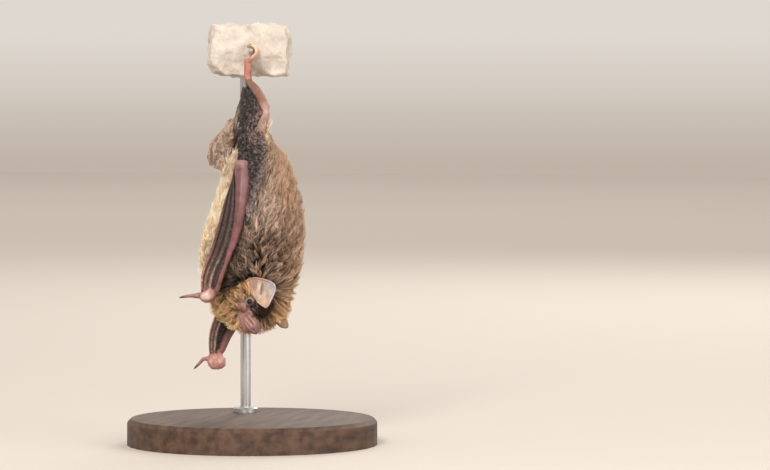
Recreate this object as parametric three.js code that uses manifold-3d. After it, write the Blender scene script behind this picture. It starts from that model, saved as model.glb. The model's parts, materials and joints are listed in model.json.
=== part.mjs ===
// A bent-winged bat at rest: a still, life-size museum model on a display stand.
//
// It hangs head down by its toes from a small piece of rough plaster. The wings are folded along the
// flanks, the tail membrane is tucked towards the belly, and the head is turned to the bat's right.
//
// Units are millimetres, with +Z up. X runs from the bat's right side to its left, Y from its back to
// its belly. The origin is the centre of the stand's underside. Every solid reaches out to the tips
// of the coat, and neighbours keep a small gap.

import * as THREE from "three";
import { mergeVertices } from "three/addons/utils/BufferGeometryUtils.js";
import Module from "manifold-3d";

const wasm = await Module();
wasm.setup();

// ---------------------------------------------------------------- driving dimensions

const GAP = 0.3; // clearance that neighbouring pieces keep
const MERGE = 1e-4; // vertices nearer than this are one

const place = (x, y, z) => new THREE.Vector3(x, y, z);

const SIDES = { right: -1, left: 1 };

// The stand.
const BASE_RADIUS = 38;
const BASE_HEIGHT = 8;
const BASE_EDGE = 1.2;
const ROD_RADIUS = 1.6;
const ROD_DEPTH = 5; // how far the rod goes into the base and the perch
const COLLAR_RADIUS = 4;
const COLLAR_HEIGHT = 1.6;
const ROD_AT = place(19, 7.2, 0);
const PERCH_TURN = THREE.MathUtils.degToRad(15); // the knob runs under the toes of both feet
const PERCH_SIZE = place(18, 25, 16);
const PERCH_AT = place(14.5, 4.6, 119.6);
const KNOB_START = -5.4;
const KNOB_END = 9;
const KNOB_AT = place(0, 0.16, 119.3);
const KNOB_RADII = [0.85, 1, 1, 1.1, 4.4];

// The legs, from hip to toes. Each foot hooks over the knob of the perch.
const LEGS = {
  right: {
    hip: place(-4.5, -3, 88),
    knee: place(-12.6, -8.0, 101.6),
    ankle: place(-2.2, 0.8, 110.6),
    ball: place(-2.2, 0.55, 117),
  },
  left: {
    hip: place(5, -3, 87),
    knee: place(13, 0.8, 99),
    ankle: place(2.8, 1.8, 110.6),
    ball: place(2.6, 1.75, 117),
  },
};
const TOE_COUNT = 5;
const TOE_RADIUS = 0.42;
const CLAW_RADIUS = 0.27;
const HOOK_RADIUS = 1.85; // of the curl of the toes
const KNOB_WAY = place(Math.cos(PERCH_TURN), Math.sin(PERCH_TURN), 0);

// The wings, from shoulder to thumb tip. The fingers fold back along the forearm.
const WINGS = {
  right: {
    shoulder: place(-11.4, -4.2, 61.5),
    arm: place(-11.3, -3.4, 73),
    elbow: place(-10.9, 0.3, 85.8),
    forearm: [place(-13.8, -0.5, 74.6), place(-14.8, 0, 66.5), place(-14.5, 2.4, 59), place(-13.1, 5.9, 51.6)],
    carpus: place(-11.3, 8.8, 45.6),
    wrist: place(-11, 11, 45.7),
    fingers: [place(-12.5, 9.8, 51.8), place(-13.6, 6.3, 59.4), place(-13.4, 4.1, 66.8), place(-12.6, 3, 74.2)],
    fingertip: place(-11.2, 2.4, 84.4),
    bundle: [1.9, 2.5, 2.7, 2.7, 2.1, 0.9],
    thumb: [place(-11.8, 15, 45.6), place(-12.4, 17.4, 45.4), place(-12.8, 19.6, 44.9)],
  },
  left: {
    shoulder: place(10.4, -1.2, 44.5),
    arm: place(12.3, -3.2, 53),
    elbow: place(13.4, -5.2, 61.8),
    forearm: [place(14, -1.5, 52), place(12.6, 4.2, 42.5), place(10.4, 10, 33.4)],
    carpus: place(8.6, 12.9, 25.6),
    wrist: place(8.2, 13.4, 24.1),
    fingers: [place(8, 15.2, 31.3), place(9.2, 12.2, 40.5), place(12.2, 6.8, 50)],
    fingertip: place(13.6, 0.6, 60),
    bundle: [1.4, 1.6, 1.9, 1.7, 0.9],
    thumb: [place(8.6, 17.2, 25.3), place(8.6, 19.4, 23.3), place(8.4, 21, 21.6)],
  },
};
const ELBOW_RADIUS = 1.85;
const WRIST_RADIUS = 2.55;
const MEMBRANE = 0.8; // thickness of folded wing skin

// The tail bends over the rump and folds towards the belly.
const TAIL_PATH = [
  place(0, -3, 94),
  place(0, 0.2, 100.4),
  place(0, 4.8, 98.4),
  place(0, 12.2, 91.2),
  place(0, 13.2, 89),
  place(0, 13.2, 85),
  place(0, 9.6, 84.4),
];
const TAIL_ROOT_RADIUS = 1.3;
const TAIL_TIP_RADIUS = 0.5;
const TAIL_LEAN = 2.4; // the pelvis is turned, so the left side of the tail membrane lies further forward

// The trunk and neck, coat included: height, middle, half depth and half width of each ring.
const TRUNK_RINGS = [
  { z: 98.8, x: 0, y: -2.2, deep: 1.8, wide: 3.4 },
  { z: 94.4, x: 0, y: -2, deep: 3.9, wide: 7.2 },
  { z: 88, x: 0, y: -2, deep: 8, wide: 9 },
  { z: 81, x: 0, y: -2, deep: 11, wide: 10.2 },
  { z: 74, x: 0, y: -2, deep: 13, wide: 11.4 },
  { z: 66.5, x: 0, y: -0.9, deep: 15, wide: 12.4 },
  { z: 59, x: 0.2, y: 0.3, deep: 15.9, wide: 12.8 },
  { z: 52, x: 0.6, y: 0.8, deep: 15.4, wide: 11.8 },
  { z: 46, x: 0.9, y: 0.6, deep: 13.8, wide: 10 },
  { z: 41, x: 1.2, y: 1, deep: 12.4, wide: 8.6 },
  { z: 37, x: 1.4, y: -0.5, deep: 9.9, wide: 7 },
  { z: 33.6, x: 1.6, y: 1.6, deep: 3.2, wide: 3 },
];
const NECK_CUT = { at: place(0, 0, 51.5), way: place(-0.2, -0.08, -0.97).normalize() };

// The head has a frame of its own: f forward to the nose, l to its left, u up to the crown.
const HEAD_AT = place(-4.5, -1.84, 45.6);
const HEAD_FORWARD = place(-0.374, -0.416, -0.824).normalize();
const HEAD_UP = place(0.027, -0.894, 0.439);
const EYE_RADIUS = 0.95;
const EYE_AT = place(3.2, 3.8, -0.9);
const EAR = {
  rear: [
    place(-3.3, 5, -0.5),
    place(-2, 6.4, 3.5),
    place(0.5, 7.1, 6.7),
    place(2.8, 7.7, 8.6),
    place(4.4, 8, 8.9),
  ],
  front: [
    place(4.5, 4.8, 1.3),
    place(8.1, 6.7, 3.4),
    place(8.7, 7.3, 4.6),
    place(6.6, 7.9, 7.4),
    place(5, 8, 8.8),
  ],
  cup: 1.6, // how far the middle lies behind the margins
  thickness: 0.6,
  fold: { right: 1, left: 0.8 }, // the left ear is laid a little lower
};
const TRAGUS = { base: place(3.2, 4.8, 1.6), tip: place(1.8, 7, 4.8), halfWidth: 0.9 };

// Materials: colour, roughness, metalness.
const FINISH = {
  fur: [0x7d6652, 0.95, 0],
  skin: [0xb98279, 0.6, 0],
  membrane: [0x4b4340, 0.75, 0],
  ear: [0xd9c3b2, 0.6, 0],
  eye: [0x0b0908, 0.1, 0],
  wood: [0x4d3324, 0.5, 0],
  steel: [0xb9bcc0, 0.3, 1],
  plaster: [0xe6ddd2, 0.95, 0],
};

// ---------------------------------------------------------------- shaping helpers

/** Reads a list of sizes as a smooth function of t from 0 to 1. */
function sizeAt(sizes, t) {
  const last = sizes.length - 1;
  const index = Math.min(Math.floor(t * last), last - 1);
  const part = t * last - index;
  const eased = part * part * (3 - 2 * part);
  return sizes[index] * (1 - eased) + sizes[index + 1] * eased;
}

/** Moves every vertex of a three.js shape by a function of its own place. */
function reshape(shape, move) {
  const positions = shape.attributes.position;
  const point = new THREE.Vector3();
  for (let i = 0; i < positions.count; i++) {
    point.fromBufferAttribute(positions, i);
    const moved = move(point);
    positions.setXYZ(i, moved.x, moved.y, moved.z);
  }
  return shape;
}

/**
 * A round-ended limb along a curve: a sphere whose rows follow the spine.
 * wide and deep are lists of radii along it, wide being measured along the given way. A flute above 0
 * pulls every other line of points in, which leaves ridges along the limb.
 */
function limb(path, sizes, grow) {
  const { wide, deep = wide, way = place(1, 0, 0), blunt = 0.45, sides = 8, rows = 9, flute = 0 } = sizes;
  const spine = new THREE.CatmullRomCurve3(path, false, "centripetal");
  return reshape(new THREE.SphereGeometry(1, sides, rows), (point) => {
    const t = (1 - point.y) / 2;
    const ring = Math.hypot(point.x, point.z);
    const furrow = 1 - flute * (0.5 + 0.5 * Math.cos((sides / 2) * Math.atan2(point.z, point.x)));
    const fill = ring < MERGE ? 0 : (furrow * Math.pow(ring, blunt)) / ring;
    const ahead = spine.getTangentAt(t);
    const across = way.clone().addScaledVector(ahead, -way.dot(ahead)).normalize();
    const lift = ahead.clone().cross(across);
    return spine
      .getPointAt(t)
      .addScaledVector(across, point.x * fill * (sizeAt(wide, t) + grow))
      .addScaledVector(lift, point.z * fill * (sizeAt(deep, t) + grow))
      .addScaledVector(ahead, -point.y * grow);
  });
}

/** A sheet of even thickness over a surface given as a function of s and t, each from 0 to 1. */
function sheet(surface, thickness, across, along, grow) {
  const step = 1e-3;
  return reshape(new THREE.BoxGeometry(1, 1, 1, across, along, 1), (point) => {
    const s = point.x + 0.5;
    const t = point.y + 0.5;
    const wayS = surface(s + step, t).sub(surface(s - step, t)).normalize();
    const wayT = surface(s, t + step).sub(surface(s, t - step)).normalize();
    const normal = wayS.clone().cross(wayT).normalize();
    return surface(s, t)
      .addScaledVector(normal, point.z * (thickness + 2 * grow))
      .addScaledVector(wayS, 2 * point.x * grow)
      .addScaledVector(wayT, 2 * point.y * grow);
  });
}

/** The surface between two edge curves, bulging along a way in its middle. */
function between(edgeA, edgeB, bulge) {
  const curveA = new THREE.CatmullRomCurve3(edgeA, false, "centripetal");
  const curveB = new THREE.CatmullRomCurve3(edgeB, false, "centripetal");
  return (s, t) => {
    const inside = THREE.MathUtils.clamp(t, 0, 1);
    const a = curveA.getPoint(inside);
    const b = curveB.getPoint(inside);
    const slope = t - inside;
    a.addScaledVector(curveA.getTangent(inside), slope);
    b.addScaledVector(curveB.getTangent(inside), slope);
    return a.lerp(b, s).addScaledVector(bulge, Math.sin(Math.PI * s) * Math.sin(Math.PI * inside));
  };
}

/** How far a point is outside an egg-shaped lump, negative inside it. */
function lumpDistance(point, lump) {
  const from = point.clone().sub(lump.at);
  const scaled = from.clone().divide(lump.size);
  const bent = scaled.clone().divide(lump.size);
  const reach = scaled.length();
  return bent.length() < MERGE ? -Math.min(...lump.size.toArray()) : (reach * (reach - 1)) / bent.length();
}

/** Lumps of clay melted into one another. */
function clayDistance(point, lumps, melt) {
  let nearest = Infinity;
  for (const lump of lumps) {
    const distance = lumpDistance(point, lump);
    if (nearest === Infinity) {
      nearest = distance;
      continue;
    }
    const mixed = Math.max(melt - Math.abs(nearest - distance), 0) / melt;
    nearest = Math.min(nearest, distance) - (mixed * mixed * melt) / 4;
  }
  return nearest;
}

/** The outer skin of the melted lumps, cast outwards from a centre on a sphere's directions. */
function clay(lumps, { centre, melt, reach, sides, rows }, grow) {
  return reshape(new THREE.SphereGeometry(1, sides, rows), (direction) => {
    const way = direction.clone().normalize();
    let inside = 0;
    let outside = reach;
    const probe = (radius) => clayDistance(centre.clone().addScaledVector(way, radius), lumps, melt) - grow;
    for (let radius = reach; radius > 0; radius -= 0.5) {
      if (probe(radius) < 0) {
        inside = radius;
        break;
      }
      outside = radius;
    }
    for (let step = 0; step < 14; step++) {
      const middle = (inside + outside) / 2;
      if (probe(middle) < 0) inside = middle;
      else outside = middle;
    }
    return centre.clone().addScaledVector(way, inside);
  });
}

/** A lump, with its mirror image across the head's middle when pair is true. */
function lump(f, l, u, sizeF, sizeL, sizeU, pair = false) {
  const size = place(sizeF, sizeL, sizeU);
  const one = { at: place(f, l, u), size };
  return pair ? [one, { at: place(f, -l, u), size }] : [one];
}

// ---------------------------------------------------------------- solids, cuts and joins

/** A closed three.js shape as a manifold solid. */
function toSolid(shape) {
  const bare = new THREE.BufferGeometry();
  bare.setAttribute("position", shape.attributes.position.clone());
  if (shape.index) bare.setIndex(shape.index.clone());
  const merged = mergeVertices(bare, MERGE);
  const vertProperties = new Float32Array(merged.attributes.position.array);
  const triVerts = new Uint32Array(merged.index.array);
  return new wasm.Manifold(new wasm.Mesh({ numProp: 3, vertProperties, triVerts }));
}

/** A manifold solid as a three.js shape. */
function toShape(solid) {
  const { vertProperties, triVerts } = solid.getMesh();
  const shape = new THREE.BufferGeometry();
  shape.setAttribute("position", new THREE.BufferAttribute(vertProperties, 3));
  shape.setIndex(new THREE.BufferAttribute(triVerts, 1));
  shape.computeVertexNormals();
  return shape;
}

function join(shapes) {
  return shapes.map(toSolid).reduce((whole, piece) => whole.add(piece));
}

/** The largest of the pieces that a cut leaves. */
function largest(solid) {
  return solid.decompose().sort((a, b) => b.volume() - a.volume())[0];
}

function boxesTouch(a, b) {
  const boxA = a.boundingBox();
  const boxB = b.boundingBox();
  return [0, 1, 2].every((axis) => boxA.min[axis] < boxB.max[axis] && boxB.min[axis] < boxA.max[axis]);
}

// ---------------------------------------------------------------- head

const headLeft = HEAD_UP.clone().cross(HEAD_FORWARD).normalize();
const headUp = HEAD_FORWARD.clone().cross(headLeft);
const headFrame = new THREE.Matrix4().makeBasis(HEAD_FORWARD, headLeft, headUp).setPosition(HEAD_AT);

const HEAD_LUMPS = [
  ...lump(-1.4, 0, 0.2, 6.8, 5.4, 6.2), // skull and its coat
  ...lump(2.8, 0, 0.6, 4.8, 4, 4), // domed forehead
  ...lump(1.2, 2.8, -3.4, 3.8, 2.3, 2.6, true), // cheeks
  ...lump(7.2, 0, -2.9, 4.6, 2.7, 2.3), // muzzle
  ...lump(9.2, 1.4, -3.1, 2.4, 1.5, 1.5, true), // swollen sides of the muzzle
  ...lump(11.3, 0, -3.1, 1.1, 1.15, 0.95), // nose
  ...lump(7.2, 0, -5.1, 3.9, 2.2, 1.3), // lower jaw
  ...lump(-2, 0, -4, 5.5, 4.6, 4), // throat
];

function head(grow) {
  const shape = clay(HEAD_LUMPS, { centre: place(1.8, 0, -1.2), melt: 1.4, reach: 18, sides: 18, rows: 15 }, grow);
  return toSolid(shape.applyMatrix4(headFrame));
}

/** A place in the head's frame, on the given side, as a place in the whole bat's. */
function onHead(spot, side) {
  return place(spot.x, spot.y * SIDES[side], spot.z).applyMatrix4(headFrame);
}

function eye(side, grow) {
  const ball = new THREE.SphereGeometry(EYE_RADIUS + grow, 8, 6);
  return toSolid(ball.translate(...onHead(EYE_AT, side).toArray()));
}

/** The ear is a cupped shell between its two margins, with the tragus standing in its mouth. */
function ear(side, grow) {
  const margins = between(EAR.rear, EAR.front, place(0, -EAR.cup, 0));
  const tragus = (s, t) => {
    const root = TRAGUS.base.clone().lerp(TRAGUS.tip, t);
    return root.add(place((s - 0.5) * 2 * TRAGUS.halfWidth * (1 - 0.5 * t * t), 0, 0));
  };
  const flaps = [margins, tragus].map((surface) => (s, t) => {
    const spot = surface(side === "right" ? s : 1 - s, t);
    return onHead(spot.setZ(spot.z * EAR.fold[side]), side);
  });
  return join([
    sheet(flaps[0], EAR.thickness, 5, 5, grow),
    sheet(flaps[1], EAR.thickness, 1, 2, grow),
  ]);
}

// ---------------------------------------------------------------- trunk and neck

const trunkCurves = Object.fromEntries(
  ["z", "x", "y", "deep", "wide"].map((key) => [
    key,
    new THREE.CatmullRomCurve3(TRUNK_RINGS.map((ring) => place(ring[key], 0, 0))),
  ]),
);

/** The trunk and neck in one: rings of the coat from the rump down to the throat. */
function torso(grow) {
  const body = reshape(new THREE.SphereGeometry(1, 18, 16), (point) => {
    const t = Math.acos(THREE.MathUtils.clamp(point.y, -1, 1)) / Math.PI;
    const read = (key) => trunkCurves[key].getPoint(t).x;
    const height = read("z") + point.y * grow;
    const around = Math.hypot(point.x, point.z);
    if (around < MERGE) return place(read("x"), read("y"), height + point.y);
    const wide = (point.x / around) * (read("wide") + grow);
    const deep = (point.z / around) * (read("deep") + grow);
    return place(read("x") + wide, read("y") - deep, height);
  });
  return toSolid(body);
}

function neck(grow) {
  const { at, way } = NECK_CUT;
  return torso(grow).trimByPlane(way.toArray(), way.dot(at) - grow);
}

// ---------------------------------------------------------------- wings

function upperArm(side, grow) {
  const { shoulder, arm, elbow } = WINGS[side];
  return toSolid(limb([shoulder, arm, elbow], { wide: [2.3, 2.3, 1.6], deep: [2.6, 2.4, 1.6] }, grow));
}

function forearm(side, grow) {
  const { elbow, forearm: middle, carpus } = WINGS[side];
  const sizes = { wide: [ELBOW_RADIUS, 1.8, 1.65, 1.5, 1.3], blunt: 0.2, rows: 11 };
  return toSolid(limb([elbow, ...middle, carpus], sizes, grow));
}

/** The round of the folded wrist, and the palm below it. */
function wrist(side, grow) {
  const ball = new THREE.SphereGeometry(WRIST_RADIUS + grow, 10, 7);
  ball.scale(0.86, 1, 0.92);
  return toSolid(ball.translate(...WINGS[side].wrist.toArray()));
}

/** Three folded fingers side by side, with the gathered wing skin between them, as one fluted bar. */
function fingers(side, grow) {
  const { wrist: root, fingers: middle, fingertip, bundle } = WINGS[side];
  const sizes = {
    wide: [1.1, 1.25, 1.25, 1.15, 0.7],
    deep: bundle,
    sides: 12,
    rows: 9,
    flute: 0.2,
    blunt: 0.28,
  };
  return toSolid(limb([root, ...middle, fingertip], sizes, grow));
}

function thumb(side, grow) {
  const { wrist: root, thumb: middle } = WINGS[side];
  return toSolid(limb([root, ...middle], { wide: [1.3, 1.0, 0.62, 0.5, 0.28], rows: 8, sides: 7 }, grow));
}

const FLANK_EDGES = {
  right: {
    outer: [
      place(-3.2, 0.5, 109.4),
      place(-6, 0.8, 103),
      place(-7.8, 1.5, 97.5),
      place(-9.6, 1.6, 91.5),
      place(-11.6, 1, 84.5),
      place(-13.9, -0.6, 76),
      place(-14.8, -0.3, 69),
    ],
    inner: [
      place(-3.6, -0.4, 109.4),
      place(-12.6, -6.6, 102),
      place(-11.4, -6.4, 96.4),
      place(-11.2, -7, 89.3),
      place(-12.2, -6.9, 82.6),
      place(-13.9, -4.8, 75),
      place(-14.7, -2.5, 67),
    ],
  },
  left: {
    outer: [
      place(3.8, 1.9, 109.2),
      place(8, 2.6, 101.5),
      place(10.4, 2.8, 92),
      place(12, 1.8, 81),
      place(13.6, -0.4, 71),
      place(14.2, -3.4, 62.5),
    ],
    inner: [
      place(4.2, 1.2, 109.2),
      place(12.6, -0.4, 100),
      place(10.8, -3.2, 92),
      place(11.4, -7, 81),
      place(12.8, -7.6, 71),
      place(13.6, -7.8, 62.5),
    ],
  },
};

/** The wing skin between leg, flank and arm. */
function wingMembrane(side, grow) {
  const { outer, inner } = FLANK_EDGES[side];
  const edges = side === "right" ? [inner, outer] : [outer, inner];
  const surface = between(...edges, place(0.7 * SIDES[side], 0, 0));
  return toSolid(sheet(surface, MEMBRANE, 2, 12, grow));
}

// ---------------------------------------------------------------- legs and tail

function thigh(side, grow) {
  const { hip, knee } = LEGS[side];
  const middle = hip.clone().lerp(knee, 0.5);
  return toSolid(limb([hip, middle, knee], { wide: [3.2, 2.6, 1.5], deep: [3.2, 2.6, 1.5], rows: 8 }, grow));
}

function shin(side, grow) {
  const { knee, ankle } = LEGS[side];
  const middle = knee.clone().lerp(ankle, 0.5).add(place(0.4 * SIDES[side], -0.7, 0.2));
  return toSolid(limb([knee, middle, ankle], { wide: [1.65, 1.45, 1.1], blunt: 0.25, rows: 7 }, grow));
}

/** The sole with five toes that curl over the knob, each ending in a claw. */
function foot(side, grow) {
  const { ankle, ball } = LEGS[side];
  const soleSizes = { wide: [1.05, 1.4, 2], deep: [1, 1.05, 0.85], way: KNOB_WAY, rows: 6, sides: 7 };
  const sole = limb([ankle, ball], soleSizes, grow);
  const toes = [];
  for (let i = 0; i < TOE_COUNT; i++) {
    const spread = i - (TOE_COUNT - 1) / 2;
    const centre = ball.clone().add(place(0.25, -0.85, 2.2));
    const hook = [ball.clone().addScaledVector(KNOB_WAY, 0.7 * spread).add(place(0, 0, -0.8))];
    for (const degrees of [-60, -10, 40, 85, 125]) {
      const angle = THREE.MathUtils.degToRad(degrees);
      const radius = HOOK_RADIUS * (degrees > 100 ? 0.85 : 1);
      hook.push(
        centre
          .clone()
          .addScaledVector(KNOB_WAY, spread * (0.82 + 0.08 * Math.cos(angle)))
          .add(place(0, -radius * Math.cos(angle), radius * Math.sin(angle))),
      );
    }
    const thin = [TOE_RADIUS * 1.1, TOE_RADIUS, TOE_RADIUS, TOE_RADIUS * 0.9, CLAW_RADIUS];
    toes.push(limb(hook, { wide: thin, way: KNOB_WAY, rows: 7, sides: 5 }, grow));
  }
  return join([sole, ...toes]);
}

function tail(grow) {
  const sizes = { wide: [TAIL_ROOT_RADIUS, 1.1, 0.9, 0.8, 0.7, TAIL_TIP_RADIUS], rows: 14, sides: 7 };
  return toSolid(limb(TAIL_PATH, sizes, grow));
}

/** One side of the tail membrane: from the tail to the shin above and the free edge below. */
function tailMembrane(side, grow) {
  const out = SIDES[side];
  const lean = side === "left" ? TAIL_LEAN : 0;
  const midline = [
    place(0, 0.6, 101.4),
    place(0, 5, 98.6),
    place(0, 9.2, 94.6),
    place(0, 13, 90.2),
    place(0, 13.4, 85),
  ];
  const edge = [
    place(3.1 * out, 1.8 + 0.3 * lean, 108.6),
    place(5.2 * out, 3.2 + lean, 99),
    place(4.8 * out, 4 + lean, 93),
    place(4.4 * out, 5.9 + lean, 87.6),
    place(3.6 * out, 8.6 + 0.6 * lean, 82.8),
  ];
  const edges = side === "right" ? [edge, midline] : [midline, edge];
  const surface = between(...edges, place(1.1 * out, 0.3, 0.3));
  return toSolid(sheet(surface, MEMBRANE, 2, 8, grow));
}

// ---------------------------------------------------------------- stand

function standBase() {
  const profile = [
    [0, 0],
    [BASE_RADIUS, 0],
    [BASE_RADIUS, BASE_HEIGHT - BASE_EDGE],
    [BASE_RADIUS - BASE_EDGE, BASE_HEIGHT],
    [0, BASE_HEIGHT],
  ].map(([radius, height]) => new THREE.Vector2(radius, height));
  return toSolid(new THREE.LatheGeometry(profile, 36).rotateX(Math.PI / 2));
}

function standRod(grow) {
  const low = BASE_HEIGHT - ROD_DEPTH;
  const high = PERCH_AT.z - PERCH_SIZE.z / 2 + ROD_DEPTH;
  const profile = [
    [0, low - grow],
    [ROD_RADIUS + grow, low - grow],
    [ROD_RADIUS + grow, BASE_HEIGHT + GAP - grow],
    [COLLAR_RADIUS + grow, BASE_HEIGHT + GAP - grow],
    [COLLAR_RADIUS + grow, BASE_HEIGHT + GAP + COLLAR_HEIGHT - 0.5 + grow],
    [COLLAR_RADIUS - 0.5 + grow, BASE_HEIGHT + GAP + COLLAR_HEIGHT + grow],
    [ROD_RADIUS + grow, BASE_HEIGHT + GAP + COLLAR_HEIGHT + grow],
    [ROD_RADIUS + grow, high + grow],
    [0, high + grow],
  ].map(([radius, height]) => new THREE.Vector2(radius, height));
  return toSolid(new THREE.LatheGeometry(profile, 10).rotateX(Math.PI / 2).translate(ROD_AT.x, ROD_AT.y, 0));
}

/** Soft bumps, as in plaster thrown on by hand. */
function roughness(x, y, z) {
  return (
    Math.sin(0.55 * x + 1.3 * Math.sin(0.31 * z)) +
    0.7 * Math.sin(0.62 * z - 0.4 * y + 1.7) +
    0.6 * Math.sin(0.9 * y + 0.5 * x - 0.7 * z + 0.4)
  );
}

/** A broken-off lump of rough plaster, with the knob that the toes hook over. */
function standPerch() {
  const half = PERCH_SIZE.clone().divideScalar(2);
  const block = reshape(new THREE.BoxGeometry(2, 2, 2, 4, 5, 4), (point) => {
    const corner = point.lengthSq() - 1;
    const spot = point.clone().multiply(half).multiplyScalar(1 - 0.085 * corner);
    return spot.addScaledVector(point.clone().normalize(), 0.6 * roughness(spot.x, spot.y, spot.z));
  });
  block.rotateZ(PERCH_TURN).translate(...PERCH_AT.toArray());
  const spine = [KNOB_START, 0, KNOB_END].map((along) => KNOB_AT.clone().addScaledVector(KNOB_WAY, along));
  const knob = limb(spine, { wide: KNOB_RADII, way: place(0, 0, 1), rows: 9, sides: 8, blunt: 0.6 }, 0);
  return join([block, knob]);
}

// ---------------------------------------------------------------- the whole model

// In this order every piece gives way to those before it, which keep their whole shape.
const pieces = [];
const add = (name, finish, make) => pieces.push({ name, finish, make });
const addPair = (name, finish, make) => {
  for (const side of Object.keys(SIDES)) add(`${name}_${side}`, finish, (grow) => make(side, grow));
};

addPair("eye", "eye", eye);
addPair("foot", "skin", foot);
addPair("wrist", "skin", wrist);
addPair("thumb", "skin", thumb);
addPair("forearm", "skin", forearm);
addPair("shin", "skin", shin);
addPair("fingers", "membrane", fingers);
add("head", "fur", head);
addPair("ear", "ear", ear);
addPair("thigh", "fur", thigh);
addPair("upper_arm", "fur", upperArm);
add("tail", "membrane", tail);
addPair("wing_membrane", "membrane", wingMembrane);
addPair("tail_membrane", "membrane", tailMembrane);
add("neck", "fur", neck);
add("trunk", "fur", torso);
add("stand_rod", "steel", standRod);
add("stand_perch", "plaster", standPerch);
add("stand_base", "wood", standBase);

const bat = new THREE.Group();
const earlier = [];
for (const { name, finish, make } of pieces) {
  let solid = make(0);
  for (const grown of earlier) {
    if (boxesTouch(solid, grown)) solid = solid.subtract(grown);
  }
  earlier.push(make(GAP));
  const [color, roughness, metalness] = FINISH[finish];
  const material = new THREE.MeshStandardMaterial({ color, roughness, metalness });
  const mesh = new THREE.Mesh(toShape(largest(solid)), material);
  mesh.name = name;
  bat.add(mesh);
}

export default bat;
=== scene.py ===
# %% [markdown]
# # A hanging bat in Blender
# A bent-winged bat hangs head down from a piece of rough plaster, as a still museum model on a stand.
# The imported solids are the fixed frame: they give every place and size here, in metres, with +Z up.
# Looking along +Y one sees the bat's back, and its right side is towards -X.
# Over that frame this lesson lays one soft skin, finely crinkled wings, and a coat of many small tufts.

# %% The frame
import json
import math

import bmesh
import bpy
import numpy as np
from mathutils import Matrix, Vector
from mathutils.bvhtree import BVHTree
from mathutils.kdtree import KDTree

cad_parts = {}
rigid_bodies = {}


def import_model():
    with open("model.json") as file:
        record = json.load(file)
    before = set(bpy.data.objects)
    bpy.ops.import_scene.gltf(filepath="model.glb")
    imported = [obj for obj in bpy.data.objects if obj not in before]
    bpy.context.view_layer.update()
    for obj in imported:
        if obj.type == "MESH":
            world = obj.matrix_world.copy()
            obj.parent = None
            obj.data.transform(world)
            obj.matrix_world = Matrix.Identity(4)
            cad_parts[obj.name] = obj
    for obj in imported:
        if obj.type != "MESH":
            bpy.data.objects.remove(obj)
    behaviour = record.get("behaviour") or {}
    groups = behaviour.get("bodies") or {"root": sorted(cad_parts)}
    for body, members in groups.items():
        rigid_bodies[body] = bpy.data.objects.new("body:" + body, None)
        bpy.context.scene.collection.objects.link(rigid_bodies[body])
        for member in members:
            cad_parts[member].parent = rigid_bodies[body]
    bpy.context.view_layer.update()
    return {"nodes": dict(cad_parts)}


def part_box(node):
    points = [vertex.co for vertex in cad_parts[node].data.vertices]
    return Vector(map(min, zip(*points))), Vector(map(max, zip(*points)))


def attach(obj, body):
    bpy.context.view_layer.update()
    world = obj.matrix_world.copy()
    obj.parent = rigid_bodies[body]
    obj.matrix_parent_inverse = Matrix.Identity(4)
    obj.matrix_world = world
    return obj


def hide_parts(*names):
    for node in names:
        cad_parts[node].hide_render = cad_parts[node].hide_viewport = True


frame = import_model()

MM = 0.001
UP = Vector((0, 0, 1))
scene = bpy.context.scene

# %% [markdown]
# ## Camera
# A long lens from more than a metre away keeps the bat's shape calm, as a visitor with a telephoto lens
# would see it. The camera stands to the bat's right and a little behind its back, just above level.
# It looks past the bat, so that the animal sits in the left third of the picture.

# %% Camera
CAMERA_AZIMUTH = math.radians(-75)
CAMERA_ELEVATION = math.radians(2)
CAMERA_DISTANCE = 1.2
CAMERA_LENS = 185.1
SUBJECT = Vector((0, 0, 0.072))
LOOK_RIGHT = 0.0403
LOOK_DOWN = 0.0085

camera_back = Vector(
    (
        math.sin(CAMERA_AZIMUTH) * math.cos(CAMERA_ELEVATION),
        -math.cos(CAMERA_AZIMUTH) * math.cos(CAMERA_ELEVATION),
        math.sin(CAMERA_ELEVATION),
    )
)
camera_right = UP.cross(camera_back).normalized()
camera_up = camera_back.cross(camera_right)

camera = bpy.data.objects.new("camera", bpy.data.cameras.new("camera"))
scene.collection.objects.link(camera)
camera.data.lens = CAMERA_LENS
camera.data.clip_start = 0.01
camera.location = SUBJECT + camera_back * CAMERA_DISTANCE
look_at = SUBJECT + camera_right * LOOK_RIGHT - camera_up * LOOK_DOWN
camera.rotation_mode = "QUATERNION"
camera.rotation_quaternion = (look_at - camera.location).to_track_quat("-Z", "Y")
scene.camera = camera
print("camera at", tuple(round(value, 3) for value in camera.location))

# %% [markdown]
# ## Floor and light
# The model stands in a plain pale room. A large soft lamp above and to the left gives the fur its
# light and dark sides, a weaker one fills the shade from the right, one behind the bat lights its
# edge, and one hangs over the far floor. Low down the room takes on the tone of that far floor, so
# that no hard line runs behind the bat.

# %% Floor and light
FLOOR_SIZE = 6.0
FLOOR_TONE = (0.56, 0.51, 0.46)
ROOM_TONE = (0.98, 0.915, 0.84)
FLOOR_FAR_TONE = (0.7, 0.605, 0.515)
FADE_HEIGHTS = (-0.027, 0.012)
ROOM_STRENGTH = 0.75
LAMPS = [  # name, metres towards the camera, to its right and up, then size, power and colour
    ("key_lamp", (0.85, -0.22, 0.5), 0.36, 9.5, (1, 0.965, 0.93)),
    ("fill_lamp", (0.6, 0.75, 0.25), 0.6, 3.6, (1, 0.97, 0.95)),
    ("far_floor_lamp", (-1.8, 0, 1.5), 1.6, 8, (1, 0.985, 0.96)),
    ("back_lamp", (-0.8, 0.35, 0.6), 0.6, 4, (1, 0.98, 0.95)),
]


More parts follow.
